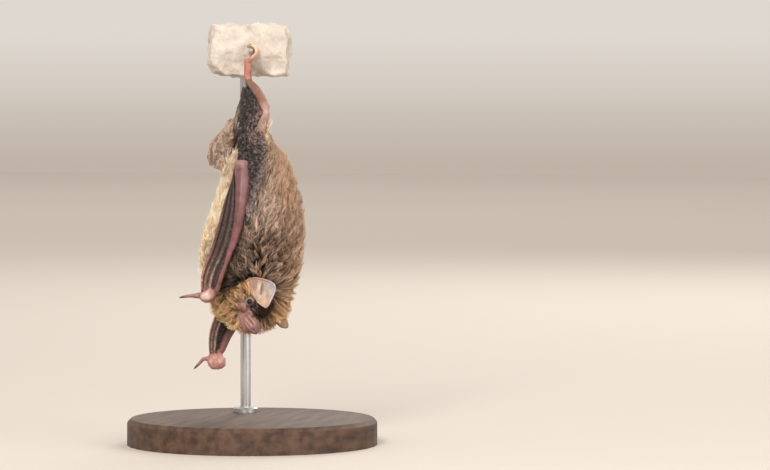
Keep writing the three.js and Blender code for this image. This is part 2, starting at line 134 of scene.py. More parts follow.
def soft_lamp(name, place, target, size, power, colour):
    """A square area lamp at a place, turned towards its target."""
    lamp = bpy.data.objects.new(name, bpy.data.lights.new(name, "AREA"))
    lamp.data.size = size
    lamp.data.energy = power
    lamp.data.color = colour
    lamp.location = place
    lamp.rotation_mode = "QUATERNION"
    lamp.rotation_quaternion = (target - place).to_track_quat("-Z", "Y")
    scene.collection.objects.link(lamp)


def plain_material(name, colour, roughness):
    """A material with one colour and roughness all over."""
    material = bpy.data.materials.new(name)
    material.use_nodes = True
    shader = material.node_tree.nodes["Principled BSDF"]
    shader.inputs["Base Color"].default_value = (*colour, 1)
    shader.inputs["Roughness"].default_value = roughness
    return material


def as_mesh(name, shape):
    """A mesh from a bmesh, which is freed."""
    mesh = bpy.data.meshes.new(name)
    shape.to_mesh(mesh)
    shape.free()
    return mesh


def shown(name, mesh, material, smooth=True):
    """A new object at the origin that shows a mesh in one material."""
    mesh.polygons.foreach_set("use_smooth", [smooth] * len(mesh.polygons))
    mesh.materials.append(material)
    piece = bpy.data.objects.new(name, mesh)
    scene.collection.objects.link(piece)
    return piece


floor_mesh = bmesh.new()
bmesh.ops.create_grid(floor_mesh, x_segments=1, y_segments=1, size=FLOOR_SIZE / 2)
floor_material = plain_material("pale_floor", FLOOR_TONE, 0.9)
floor = shown("floor", as_mesh("floor", floor_mesh), floor_material, smooth=False)

world = bpy.data.worlds.new("pale_room")
world.use_nodes = True
room_nodes, room_links = world.node_tree.nodes, world.node_tree.links
room_nodes["Background"].inputs["Strength"].default_value = ROOM_STRENGTH
view_way, view_height = room_nodes.new("ShaderNodeTexCoord"), room_nodes.new("ShaderNodeSeparateXYZ")
room_tones = room_nodes.new("ShaderNodeValToRGB")
room_tones.color_ramp.interpolation = "EASE"
stretched = room_nodes.new("ShaderNodeMapRange")
stretched.inputs["From Min"].default_value, stretched.inputs["From Max"].default_value = FADE_HEIGHTS
room_tones.color_ramp.elements[0].color = (*FLOOR_FAR_TONE, 1)
room_tones.color_ramp.elements[1].color = (*ROOM_TONE, 1)
room_links.new(view_way.outputs["Generated"], view_height.inputs["Vector"])
room_links.new(view_height.outputs["Z"], stretched.inputs["Value"])
room_links.new(stretched.outputs["Result"], room_tones.inputs["Fac"])
room_links.new(room_tones.outputs["Color"], room_nodes["Background"].inputs["Color"])
scene.world = world

for name, (back, right, rise), size, power, colour in LAMPS:
    place = SUBJECT + camera_back * back + camera_right * right + UP * rise
    target = place - UP if name == "far_floor_lamp" else SUBJECT
    soft_lamp(name, place, target, size, power, colour)
scene.view_settings.view_transform = "Standard"
print("floor and", len(LAMPS), "lamps")

# %% [markdown]
# ## Working with soft shapes
# The CAD solids are faceted and stand a hair apart. Living skin is one soft surface, so copies of the
# solids are swollen until they touch, fused by a voxel remesh, and then smoothed point by point.
# NumPy moves all the points of a mesh at once, which a loop over vertices would do far more slowly.

# %% Points of a mesh as arrays
SEED = 7
draws = np.random.default_rng(SEED)


def points_of(mesh):
    """The places of all points, one row each."""
    flat = np.empty(len(mesh.vertices) * 3)
    mesh.vertices.foreach_get("co", flat)
    return flat.reshape(-1, 3)


def set_points(mesh, points):
    """Moves all points to the places given."""
    mesh.vertices.foreach_set("co", points.ravel())
    mesh.update()


def normals_of(mesh):
    """The way each point of the surface faces."""
    flat = np.empty(len(mesh.vertices) * 3)
    mesh.vertex_normals.foreach_get("vector", flat)
    return flat.reshape(-1, 3)


def unit(vectors):
    """Vectors of length 1 with the same directions."""
    return vectors / np.maximum(np.linalg.norm(vectors, axis=1), 1e-9)[:, None]


def smoothstep(low, high, value):
    """0 up to low, 1 from high, and a soft rise between them."""
    part = np.clip((value - low) / (high - low), 0, 1)
    return part * part * (3 - 2 * part)


def fade(low, high, value):
    """1 up to low, 0 from high, and a soft fall between them."""
    return 1 - smoothstep(low, high, value)


def from_spot(spot, points):
    """How far each point lies from one spot."""
    return np.linalg.norm(points - spot, axis=1)


def close_to(spot, reach, points):
    """1 at a spot, and less with distance: about a third at the reach."""
    return np.exp(-((from_spot(spot, points) / reach) ** 2))


def nearest_of(spots, points):
    """How far each point lies from the nearest of a few spots."""
    return np.min([from_spot(spot, points) for spot in spots], axis=0)


# %% Softening
def soften(mesh, rounds, strength=0.5, keep_volume=True, weights=1.0):
    """Moves each point towards the middle of its neighbours, and back a little where volume is kept."""
    count = len(mesh.vertices)
    ends = np.empty(len(mesh.edges) * 2, dtype=np.int64)
    mesh.edges.foreach_get("vertices", ends)
    first, second = ends.reshape(-1, 2).T
    neighbours = np.bincount(np.concatenate([first, second]), minlength=count)[:, None]
    points = points_of(mesh)
    share = np.broadcast_to(np.asarray(weights, dtype=float).reshape(-1, 1), (count, 1))
    for _ in range(rounds):
        for amount in (strength, -strength * 1.04) if keep_volume else (strength,):
            total = np.empty_like(points)
            for axis in range(3):
                sums = np.bincount(first, points[second, axis], count)
                total[:, axis] = sums + np.bincount(second, points[first, axis], count)
            points += share * amount * (total / neighbours - points)
    set_points(mesh, points)


# %% Soft noise
def wander(points, size, seed=0):
    """Smooth noise from -1 to 1 over space: random values on a lattice, blended between its corners."""
    table = np.random.default_rng(seed).uniform(-1, 1, 4096)
    spots = points / size
    corner = np.floor(spots).astype(np.int64)
    part = spots - corner
    part = part * part * (3 - 2 * part)
    value = np.zeros(len(points))
    for step in np.ndindex(2, 2, 2):
        x, y, z = (corner + step).T
        key = (x * 73856093 ^ y * 19349663 ^ z * 83492791) % 4096
        weight = np.prod(np.where(step, part, 1 - part), axis=1)
        value += weight * table[key]
    return value


# %% Copies of the solids
WELD = 1e-6


def solid_copy(node, swell):
    """A merged copy of a CAD node, swollen along its normals."""
    copy = bmesh.new()
    copy.from_mesh(frame["nodes"][node].data)
    bmesh.ops.remove_doubles(copy, verts=copy.verts, dist=WELD)
    copy.normal_update()
    moves = [vert.normal * swell for vert in copy.verts]
    for vert, move in zip(copy.verts, moves):
        vert.co += move
    return copy


def fused(name, parts, voxel):
    """One closed mesh around several that overlap. The parts are freed."""
    joined = bmesh.new()
    for part in parts:
        loose = bpy.data.meshes.new("loose")
        part.to_mesh(loose)
        part.free()
        joined.from_mesh(loose)
        bpy.data.meshes.remove(loose)
    rough = bpy.data.objects.new(name, bpy.data.meshes.new(name + "_rough"))
    joined.to_mesh(rough.data)
    joined.free()
    scene.collection.objects.link(rough)
    remesh = rough.modifiers.new("fuse", "REMESH")
    remesh.mode = "VOXEL"
    remesh.voxel_size = voxel
    evaluated = rough.evaluated_get(bpy.context.evaluated_depsgraph_get())
    mesh = bpy.data.meshes.new_from_object(evaluated)
    bpy.data.objects.remove(rough)
    return mesh


def tree_of(*nodes):
    """A search tree over the surfaces of some CAD nodes."""
    joined = bmesh.new()
    for node in nodes:
        joined.from_mesh(frame["nodes"][node].data)
    tree = BVHTree.FromBMesh(joined)
    joined.free()
    return tree


def distance_to(tree, points):
    """How far each point lies from the surface in a search tree."""
    return np.array([tree.find_nearest(point)[3] for point in points])


def pair(name):
    """The names of the CAD nodes of the right and the left side."""
    return [name + "_right", name + "_left"]


print("tools ready, with seed", SEED)

# %% [markdown]
# ## Limbs along a curve
# Fingers, toes, claws and lids are all long tapering forms. Each starts as a plain sphere whose rows
# of points are laid along a smooth curve through a few places, so both ends come out closed and round.

# %% Curves and limbs
def along(path, t):
    """Places on a smooth curve through the path's points, for an array t from 0 to 1."""
    stops = np.asarray(path, dtype=float)
    stops = np.vstack([2 * stops[0] - stops[1], stops, 2 * stops[-1] - stops[-2]])
    spot = np.clip(t, 0, 1) * (len(stops) - 3)
    index = np.minimum(spot.astype(int), len(stops) - 4)
    u = (spot - index)[:, None]
    a, b, c, d = (stops[index + k] for k in range(4))
    return b + 0.5 * u * (c - a + u * (2 * a - 5 * b + 4 * c - d + u * (3 * (b - c) + d - a)))


def distance_to_path(points, path, stops=90):
    """How far each point lies from a smooth curve."""
    spots = along(path, np.linspace(0, 1, stops))
    nearest = np.full(len(points), np.inf)
    for spot in spots:
        nearest = np.minimum(nearest, from_spot(spot, points))
    return nearest


def limb(path, radii, sides=10, rows=14, flat=1.0, way=(0, 0, 1), blunt=0.3):
    """A closed, round-ended form along a path. flat squeezes it across the given way."""
    shape = bmesh.new()
    bmesh.ops.create_uvsphere(shape, u_segments=sides, v_segments=rows, radius=1)
    ball = np.array([vert.co for vert in shape.verts])
    t = (1 - ball[:, 2]) / 2
    ahead = along(path, t + 0.01) - along(path, t - 0.01)
    ahead /= np.linalg.norm(ahead, axis=1)[:, None]
    side = np.cross(ahead, np.asarray(way, dtype=float))
    side /= np.linalg.norm(side, axis=1)[:, None]
    lift = np.cross(side, ahead)
    ring = np.hypot(ball[:, 0], ball[:, 1])
    fill = np.where(ring < 1e-6, 0, np.maximum(ring, 1e-6) ** (blunt - 1))
    radius = np.interp(t, np.linspace(0, 1, len(radii)), radii) * fill
    spots = along(path, t) + side * (ball[:, 0] * radius)[:, None]
    spots += lift * (ball[:, 1] * radius * flat)[:, None]
    for vert, spot in zip(shape.verts, spots):
        vert.co = spot
    bmesh.ops.recalc_face_normals(shape, faces=shape.faces)
    return shape


def added(meshes):
    """One mesh of several closed shells."""
    whole = bmesh.new()
    for mesh in meshes:
        whole.from_mesh(mesh)
    return whole

# %% [markdown]
# ## One grain for every soft surface
# Skin, wings and ears differ in colour but share the same kind of detail: a mottled tone and fine
# pores or creases. A node group makes both from the piece's painted shade and its own place in space,
# so the detail stays fixed to the surface. Each material places it with its own sizes.

# %% Grain group
GRAIN_INPUTS = [("Shade", "NodeSocketColor", None), ("Mottle size", "NodeSocketFloat", 300.0)]
GRAIN_INPUTS += [("Mottle", "NodeSocketFloat", 0.5), ("Pore size", "NodeSocketFloat", 2000.0)]
GRAIN_INPUTS += [("Pore depth", "NodeSocketFloat", 0.0001), ("Gloss", "NodeSocketFloat", 0.5)]
GRAIN_OUTPUTS = [("Color", "NodeSocketColor"), ("Roughness", "NodeSocketFloat")]
GRAIN_OUTPUTS += [("Normal", "NodeSocketVector")]


def grain_group():
    """Shade and sizes in, and colour, roughness and bent normals out."""
    group = bpy.data.node_groups.new("soft_grain", "ShaderNodeTree")
    for name, kind, value in GRAIN_INPUTS:
        socket = group.interface.new_socket(name, in_out="INPUT", socket_type=kind)
        if value is not None:
            socket.default_value = value
    for name, kind in GRAIN_OUTPUTS:
        group.interface.new_socket(name, in_out="OUTPUT", socket_type=kind)
    nodes, links = group.nodes, group.links
    given, result = nodes.new("NodeGroupInput"), nodes.new("NodeGroupOutput")
    place = nodes.new("ShaderNodeTexCoord")
    mottle, pores = nodes.new("ShaderNodeTexNoise"), nodes.new("ShaderNodeTexNoise")
    mottle.inputs["Detail"].default_value = 5
    pores.inputs["Detail"].default_value = 3
    for texture, size in ((mottle, "Mottle size"), (pores, "Pore size")):
        links.new(place.outputs["Object"], texture.inputs["Vector"])
        links.new(given.outputs[size], texture.inputs["Scale"])
    swing = nodes.new("ShaderNodeMapRange")
    swing.inputs["From Min"].default_value = 0.3
    swing.inputs["From Max"].default_value = 0.7
    swing.inputs["To Min"].default_value = -1
    links.new(mottle.outputs["Fac"], swing.inputs["Value"])
    tone = nodes.new("ShaderNodeMath")
    tone.operation = "MULTIPLY_ADD"
    tone.inputs[2].default_value = 1
    links.new(swing.outputs["Result"], tone.inputs[0])
    links.new(given.outputs["Mottle"], tone.inputs[1])
    tint = nodes.new("ShaderNodeVectorMath")
    tint.operation = "SCALE"
    links.new(given.outputs["Shade"], tint.inputs[0])
    links.new(tone.outputs["Value"], tint.inputs["Scale"])
    links.new(tint.outputs["Vector"], result.inputs["Color"])
    gloss = nodes.new("ShaderNodeMath")
    gloss.operation = "MULTIPLY_ADD"
    gloss.inputs[1].default_value = 0.1
    links.new(swing.outputs["Result"], gloss.inputs[0])
    links.new(given.outputs["Gloss"], gloss.inputs[2])
    links.new(gloss.outputs["Value"], result.inputs["Roughness"])
    bump = nodes.new("ShaderNodeBump")
    links.new(pores.outputs["Fac"], bump.inputs["Height"])
    links.new(given.outputs["Pore depth"], bump.inputs["Distance"])
    links.new(bump.outputs["Normal"], result.inputs["Normal"])
    return group


soft_grain = grain_group()


def grained_material(name, mottle_size, mottle, pore_size, pore_depth, roughness):
    """A material that shows the shade painted on its piece, mottled and finely creased."""
    material = bpy.data.materials.new(name)
    material.use_nodes = True
    nodes, links = material.node_tree.nodes, material.node_tree.links
    shader = nodes["Principled BSDF"]
    shade = nodes.new("ShaderNodeAttribute")
    shade.attribute_name = "shade"
    grain = nodes.new("ShaderNodeGroup")
    grain.node_tree = soft_grain
    grain.inputs["Mottle size"].default_value = mottle_size
    grain.inputs["Mottle"].default_value = mottle
    grain.inputs["Pore size"].default_value = pore_size
    grain.inputs["Pore depth"].default_value = pore_depth
    grain.inputs["Gloss"].default_value = roughness
    links.new(shade.outputs["Color"], grain.inputs["Shade"])
    links.new(grain.outputs["Color"], shader.inputs["Base Color"])
    links.new(grain.outputs["Roughness"], shader.inputs["Roughness"])
    links.new(grain.outputs["Normal"], shader.inputs["Normal"])
    return material


def paint(mesh, colours):
    """Stores a colour for each point of a mesh, in linear light."""
    shade = mesh.color_attributes.new("shade", "FLOAT_COLOR", "POINT")
    solid = np.column_stack([np.clip(colours, 0, 1), np.ones(len(colours))])
    shade.data.foreach_set("color", solid.ravel())


def mixed(colours, other, share):
    """Blends an array of colours towards another colour by a share for each."""
    share = np.asarray(share)[:, None]
    return colours * (1 - share) + np.asarray(other) * share


print("grain group has", len(soft_grain.nodes), "nodes")

# %% [markdown]
# ## The body under the coat
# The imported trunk, neck and thighs reach out to the tips of the fur, so the skin lies deeper. It is
# made by sinking the fused solids in small steps with a little smoothing between them, which keeps
# the surface from folding into itself. It sinks least where fur gives way to bare skin.

# %% Body
COAT_DEPTH = 2.3 * MM
BODY_VOXEL = 0.75 * MM
SWELL = 0.3 * MM

body_nodes = ["trunk", "neck", "head"] + pair("thigh") + pair("upper_arm")
body = fused("body", [solid_copy(node, SWELL) for node in body_nodes], BODY_VOXEL)
soften(body, 10)

bare_legs = tree_of(*pair("shin"), *pair("foot"))
flaps = tree_of(*pair("wing_membrane"), *pair("tail_membrane"), "tail")


def furthest(part, way):
    """The point of each of a pair of CAD nodes that lies furthest in one direction."""
    clouds = [points_of(frame["nodes"][node].data) for node in pair(part)]
    return [cloud[np.argmax(cloud @ way)] for cloud in clouds]


elbows = furthest("forearm", np.array([0, 0, 1]))
knees = furthest("shin", np.array([0, 0, -1]))
thumb_tips = furthest("thumb", np.array([0, 1, -1]))


def coat_depth(points):
    """How far the skin lies below the tips of the coat."""
    depth = np.full(len(points), COAT_DEPTH)
    depth *= 0.12 + 0.88 * smoothstep(0, 9 * MM, distance_to(bare_legs, points))
    depth *= 0.3 + 0.7 * smoothstep(0.2 * MM, 2.6 * MM, distance_to(flaps, points))
    for elbow in elbows:
        depth *= 0.3 + 0.7 * smoothstep(0, 7 * MM, from_spot(elbow, points))
    return depth


SINK_STEPS = 6


def raised(mesh, rise):
    """Moves each point of a mesh out along its normal."""
    set_points(mesh, points_of(mesh) + normals_of(mesh) * rise[:, None])


def sink(mesh, depths, rounds):
    """Sinks a mesh by a depth at each point, in small steps with a little smoothing between them."""
    for _ in range(SINK_STEPS):
        raised(mesh, -depths / SINK_STEPS)
        soften(mesh, rounds, keep_volume=False, strength=0.25)


sink(body, coat_depth(points_of(body)) + SWELL, 2)
print("body:", len(body.vertices), "points")

# %% [markdown]
# ## The head
# The head is modelled as in clay: egg-shaped lumps melt into one another, and a sphere's points are
# cast onto them from inside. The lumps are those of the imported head, less the depth of its short fur,
# with finer ones for brows, lips and nose. All of it is placed in the head's own frame, in which
# f runs forward to the nose, l to the bat's left and u up to the crown, in millimetres.

# %% The head's frame
HEAD_AT = np.array([-4.5, -1.84, 45.6]) * MM
HEAD_FORWARD = Vector((-0.374, -0.416, -0.824)).normalized()
HEAD_UP = Vector((0.027, -0.894, 0.439))
head_left = HEAD_UP.cross(HEAD_FORWARD).normalized()
HEAD_AXES = np.array([HEAD_FORWARD, head_left, HEAD_FORWARD.cross(head_left)])


def in_head(points):
    """Places in the head's frame, in millimetres."""
    return (points - HEAD_AT) @ HEAD_AXES.T / MM


def from_head(spots):
    """Places in the shared frame, in metres, from places in the head's frame."""
    return HEAD_AT + np.asarray(spots, dtype=float) @ HEAD_AXES * MM


SIDES = {"right": -1, "left": 1}
EYE_RADIUS = 0.95
EYE_SPOT = np.array([3.2, 3.8, -0.9])
NOSE_TIP = (12.2, 0, -3.2)
print("nose tip at", from_head(NOSE_TIP).round(4))

# %% Clay for the head
LUMPS = [  # middle f, l, u, then half sizes, in millimetres; those with l above 0 are on both sides
    (-1.4, 0, 0.2, 6.2, 4.8, 5.3),  # skull
    (2.8, 0, 0.5, 4.4, 3.7, 3.6),  # domed forehead
    (1.2, 2.7, -3.2, 3.6, 2.1, 2.3),  # cheek
    (6.6, 0, -3.0, 4.6, 2.3, 1.9),  # bridge of the muzzle
    (8.6, 1.3, -3.3, 2.5, 1.2, 1.25),  # swollen side of the muzzle
    (10.9, 0.45, -3.5, 1.0, 0.62, 0.7),  # nostril
    (8.2, 1.0, -4.6, 2.8, 1.25, 0.85),  # upper lip
    (6.4, 0, -5.9, 3.9, 2.0, 1.15),  # lower jaw
    (5.2, 2.1, -0.6, 1.7, 1.1, 0.9),  # ridge above the eye
    (-2, 0, -4, 5, 4.2, 3.6),  # throat
]
MELT = 0.9
CAST_FROM = np.array([1.8, 0, -1.4])
CAST_REACH = 16
HEAD_VOXEL = 0.16 * MM


def clay_distance(spots):
    """How far each spot is outside the melted lumps, negative inside."""
    nearest = None
    for f, l, u, half_f, half_l, half_u in LUMPS:
        for way in (1, -1) if l else (1,):
            scaled = (spots - (f, l * way, u)) / (half_f, half_l, half_u)
            reach = np.linalg.norm(scaled, axis=1)
            bent = np.linalg.norm(scaled / (half_f, half_l, half_u), axis=1)
            distance = reach * (reach - 1) / np.maximum(bent, 1e-6)
            if nearest is None:
                nearest = distance
                continue
            melt = np.maximum(MELT - np.abs(nearest - distance), 0) / MELT
            nearest = np.minimum(nearest, distance) - melt * melt * MELT / 4
    return nearest


cast = bmesh.new()
bmesh.ops.create_icosphere(cast, subdivisions=6, radius=1)
rays = np.array([vert.co for vert in cast.verts])
radius = np.zeros(len(rays))
for distance_out in np.arange(0.5, CAST_REACH, 0.25):
    inside = clay_distance(CAST_FROM + rays * distance_out) < 0
    radius[inside] = distance_out
step_size = 0.125
while step_size > 0.004:
    further = clay_distance(CAST_FROM + rays * (radius + step_size)[:, None]) < 0
    radius[further] += step_size
    step_size /= 2
for vert, spot in zip(cast.verts, from_head(CAST_FROM + rays * radius[:, None])):
    vert.co = spot
head = fused("head", [cast], HEAD_VOXEL)
soften(head, 4)
print("head:", len(head.vertices), "points")

# %% [markdown]
# ## Folds of the face
# The bare snout is creased by slanting folds, with nostrils at its tip, a mouth line and a furrow from
# the inner corner of each eye. Each is a curve in the head's frame that raises or sinks the points
# round it. Over the eyes the skin rises in a low mound, with a pit in which the eyeball sits.

# %% Lines and eye sockets
FACE_LINES = [  # path in the head's frame, half width and height in millimetres
    ([(3.4, 3.9, -2.0), (4.2, 3.4, -2.3), (5.1, 2.6, -2.6), (5.8, 2.3, -2.9)], 0.5, -0.42),
    ([(5.2, 2.2, -4.8), (6.6, 2.4, -4.6), (8.2, 2.5, -4.1), (9.9, 2.3, -3.5)], 0.42, 0.28),
    ([(5.0, 2.6, -4.2), (6.4, 2.6, -3.8), (8.0, 2.6, -3.3), (9.6, 2.2, -2.8)], 0.34, -0.26),
    ([(5.4, 2.6, -3.4), (6.8, 2.6, -3.0), (8.4, 2.5, -2.6), (9.9, 2.0, -2.2)], 0.36, 0.22),
    ([(5.6, 2.3, -2.7), (7.0, 2.4, -2.3), (8.6, 2.1, -1.9)], 0.28, -0.18),
    ([(2.6, 3.8, -4.9), (3.8, 3.3, -5.4), (5, 2.6, -5.4)], 0.5, 0.26),
    ([(3.4, 3.8, -4.0), (4.6, 3.1, -4.2), (5.6, 2.3, -4.2)], 0.4, -0.28),
    ([(1.9, 4.4, -4.2), (3.2, 3.9, -4.8), (4.4, 3.0, -5.6)], 0.34, -0.2),
    ([(11.3, 0.3, -5.0), (9.6, 1.9, -5.4), (7, 2.3, -5.7), (4.6, 2.6, -6.3)], 0.34, -0.34),
    ([(10.6, 1.4, -4.6), (9.2, 2.2, -4.7), (7.6, 2.4, -5.0)], 0.26, 0.16),
    ([(11.2, 1.35, -3.5), (11.0, 1.75, -3.7)], 0.42, -0.55),
    ([(11.6, 0.0, -2.7), (11.9, 0.0, -3.9)], 0.3, -0.2),
]
GAZE = np.array([0.374, 0.927, 0.0])
LID_RADIUS = 0.84
LID_RISE = 0.6
PIT_RADIUS = 0.66
PIT_FLOOR = -0.5
LID_LENGTH = 1.1
WRINKLE_SLANT = 0.32
WRINKLE_WIDTH = 0.62
WRINKLE_HEIGHT = 0.075 * MM


def eye_axes(side):
    """Middle of the eye, its gaze, and two ways across it, the first towards the inner corner."""
    flip = np.array([1, SIDES[side], 1])
    gaze = GAZE * flip
    inner = unit(np.cross([[0.45, 0, -0.9]], gaze[None]))[0]
    corner = np.cross(gaze, inner)
    return EYE_SPOT * flip, gaze, corner * np.sign(corner[0] + 1e-9)


def round_eye(spots, side):
    """How far spots lie ahead of an eye's middle along its gaze, and how far aside from that line."""
    middle, gaze, _ = eye_axes(side)
    ahead = (spots - middle) @ gaze
    return ahead, np.linalg.norm(spots - middle - ahead[:, None] * gaze, axis=1)


def wrinkles(spots):
    """Fine slanting wrinkles of bare facial skin, from -1 in a crease to 1 on a ridge."""
    across = (spots[:, 2] - WRINKLE_SLANT * spots[:, 0]) / WRINKLE_WIDTH
    across = across + 0.45 * wander(spots, 1.3, 86) + 0.25 * wander(spots, 0.6, 87)
    return np.sin(2 * math.pi * across) * (0.55 + 0.45 * wander(spots, 1.0, 88))


def fold_face(mesh):
    """Lays wrinkles, folds and the mounds and pits of the eyes into the head."""
    spots = in_head(points_of(mesh))
    bare = smoothstep(3.6, 5.4, spots[:, 0]) * smoothstep(-1.0, -1.8, spots[:, 2])
    raised(mesh, WRINKLE_HEIGHT * bare * wrinkles(spots))
    for side in SIDES:
        for path, width, height in FACE_LINES:
            spots = in_head(points_of(mesh))
            distance = distance_to_path(spots, np.array(path) * (1, SIDES[side], 1))
            raised(mesh, height * np.clip(1 - (distance / width) ** 2, 0, 1) ** 2 * MM)
        spots = in_head(points_of(mesh))
        ahead, aside = round_eye(spots, side)
        here = (ahead > -2.5) & (aside < 2.4)
        mound = np.where(here, fade(0.9, 2.0, aside), 0)
        goal = np.where(aside < PIT_RADIUS, PIT_FLOOR, LID_RISE - 0.08)
        spots += (mound * (goal - ahead))[:, None] * eye_axes(side)[1]
        set_points(mesh, from_head(spots))


fold_face(head)
print("face lines:", len(FACE_LINES))

# %% Lids
LID_PLUMP = [0.16, 0.14, 0.13, 0.14, 0.16]


def lid_ring(side):
    """A plump ring of skin round the opening of the eye, drawn out a little to its corners."""
    middle, gaze, corner = eye_axes(side)
    other = np.cross(gaze, corner)
    turns = np.radians(np.arange(0, 391, 30))
    ring = middle + gaze * LID_RISE + LID_RADIUS * (
        LID_LENGTH * np.cos(turns)[:, None] * corner + 0.96 * np.sin(turns)[:, None] * other
    )
    return limb(from_head(ring), np.array(LID_PLUMP) * MM, 10, 72, way=gaze @ HEAD_AXES, blunt=0.1)


lids = [as_mesh("lid_" + side, lid_ring(side)) for side in SIDES]
print("lids:", [len(mesh.vertices) for mesh in lids], "points")
# %% [markdown]
# ## Bare limbs
# Shins, feet, forearms, wrists and thumbs are bare skin over bone. Copies of their solids are fused
# finely and smoothed. The toes are too thin for that, so they are laid as limbs along the curl in
# which they hook over the knob, with a slim pale claw at the end of each.

# %% Legs and arms
LIMB_VOXEL = 0.28 * MM
LIMB_SWELL = 0.16 * MM
LIMB_ROUNDS = 14
ELBOW_RADIUS = 1.95 * MM
ELBOWS = {"right": Vector((-10.9, 0.3, 85)) * MM, "left": Vector((13.4, -5.2, 61)) * MM}
PALMS = {  # from the wrist to the forearm
    "right": np.array([(-11.0, 11.0, 45.3), (-11.4, 10.3, 47.3), (-11.8, 9.4, 49.6)]) * MM,
    "left": np.array([(8.2, 13.6, 23.9), (8.3, 13.6, 26), (8.7, 13.0, 28.2)]) * MM,
}
PALM_RADII = {"right": np.array([2.5, 2.7, 1.5]) * MM, "left": np.array([2.4, 2.6, 1.4]) * MM}
PALM_FLAT = 0.5
THIGH_SINK = 0.9


def smooth_limbs(name, nodes, extra=()):
    """Fused copies of a few solids, smoothed, and shrunk back by most of their swelling."""
    copies = [solid_copy(node, LIMB_SWELL) for node in nodes]
    mesh = fused(name, copies + list(extra), LIMB_VOXEL)
    soften(mesh, LIMB_ROUNDS)
    set_points(mesh, points_of(mesh) - normals_of(mesh) * LIMB_SWELL * 0.8)
    return mesh


def palm(side):
    """The short palm that joins the wrist to the folded fingers and the forearm."""
    return limb(PALMS[side], PALM_RADII[side], 18, 28, PALM_FLAT, way=(1, 0.2, 0))


def elbow_ball(side):
    """The rounded end of the folded elbow."""
    ball = bmesh.new()
    bmesh.ops.create_icosphere(ball, subdivisions=3, radius=ELBOW_RADIUS)
    bmesh.ops.translate(ball, verts=ball.verts, vec=ELBOWS[side])
    return ball


ARM_HEIGHTS = [46.8, 49.9, 52.9, 55.9, 59, 62, 68.1, 74.1, 80.2, 84.7]
ARM_FRONT = [7.9, 6.8, 5.6, 4.4, 3.6, 2.8, 1.6, 1.15, 1.0, 1.1]  # the edge towards the belly
ARM_WIDTH = [0.62, 0.56, 0.5, 0.48, 0.56, 0.7, 0.86, 1.09, 1.41, 1.55]
ARM_LINE = [(-13.8, -0.7, 85), (-13.8, -0.7, 79), (-13.9, -0.5, 74.6), (-14.8, 0.2, 66.5)]
ARM_LINE = np.array(ARM_LINE + [(-14.5, 2.6, 59)]) * MM
ARM_MIDDLE = ([46.6, 51.6, 59, 66.5, 74.6], [-11.3, -13.1, -14.5, -14.8, -13.8])


def muscled(points):
    """The right forearm swells towards the elbow and is slim above the wrist."""
    x, y, height = (points / MM).T
    share = smoothstep(45.6, 48.6, height) * (x < 0)
    front = np.interp(height, ARM_HEIGHTS, ARM_FRONT)
    width = np.interp(height, ARM_HEIGHTS, ARM_WIDTH)
    middle = np.interp(height, *ARM_MIDDLE)
    outward = 0.9 * smoothstep(62, 70, height)
    across = middle - outward + (x - middle) * (0.5 + 0.5 * width)
    goal = np.stack([across, front - (front - y) * width, height], axis=1)
    return points + (goal * MM - points) * share[:, None]


wrists = [PALMS[side][0] for side in SIDES]
arms = []
for side in SIDES:
    nodes = [f"{part}_{side}" for part in ("forearm", "wrist", "thumb")]
    arms.append(smooth_limbs("arm_" + side, nodes, [elbow_ball(side), palm(side)]))
for mesh in arms:
    points = muscled(points_of(mesh))
    at_wrist = fade(2.4 * MM, 4.5 * MM, nearest_of(wrists, points))
    tendons = 0.34 * wander(points, 1.9 * MM, 31) + 0.16 * wander(points, 0.9 * MM, 32)
    tendons *= np.where(points[:, 0] > 0, 1.9, 1)
    set_points(mesh, points)
    raised(mesh, at_wrist * tendons * MM)
legs = [smooth_limbs("leg_" + side, [f"shin_{side}", f"thigh_{side}"]) for side in SIDES]
for mesh in legs:
    under_coat = np.maximum(coat_depth(points_of(mesh)) - 0.15 * COAT_DEPTH, 0)
    sink(mesh, under_coat * THIGH_SINK, 1)
print("limbs:", [len(mesh.vertices) for mesh in arms + legs], "points")

# %% Feet
KNOB_TURN = math.radians(15)
KNOB_WAY = np.array([math.cos(KNOB_TURN), math.sin(KNOB_TURN), 0])
TOE_COUNT = 5
TOE_FAN = 0.05
TOE_BEND = [-60, -30, 0, 30, 58, 85]
CLAW_BEND = [85, 104, 122, 136]
HOOK_RADIUS = 1.85
TOE_JOINTS = np.array([0.44, 0.5, 0.4, 0.38, 0.46, 0.36, 0.42, 0.34, 0.3]) * MM
CLAW_TAPER = np.array([0.3, 0.27, 0.2, 0.12, 0.05]) * MM
SOLE_RADII = np.array([0.8, 1.3, 1.25, 1.35, 1.6]) * MM
SOLE_FLAT = 0.82


def foot_places(side):
    """Ankle and ball of a foot, and the middle round which its toes curl."""
    low, high = (np.array(corner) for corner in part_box("foot_" + side))
    middle = (low + high) / 2
    ankle = np.array([middle[0], high[1] - 0.9 * MM, low[2]])
    ball = ankle + np.array([-0.02, -0.15, 6.4]) * MM
    return ankle, ball, ball + np.array([0.25, -0.85, 2.2]) * MM


def sole(ankle, ball):
    """From inside the shin, past the heel, to the ball of the foot."""
    path = [ankle - (0, 0.9 * MM, 2.6 * MM), ankle - (0, 0.3 * MM, 0.6 * MM)]
    path += [ankle + (0, 0, 1.2 * MM), (ankle + ball) / 2, ball]
    return limb(path, SOLE_RADII, 16, 28, SOLE_FLAT, way=(0, 1, 0))


def curled(curl, spread, degrees):
    """A place on the hook of a toe over the knob. spread counts toes from the middle one."""
    angle = math.radians(degrees)
    wide = spread * (0.82 + 0.08 * math.cos(angle)) * MM
    reach = HOOK_RADIUS * (1 + TOE_FAN * spread - 0.15 * max(0, degrees - 85) / 50) * MM
    return curl + KNOB_WAY * wide + np.array([0, -reach * math.cos(angle), reach * math.sin(angle)])


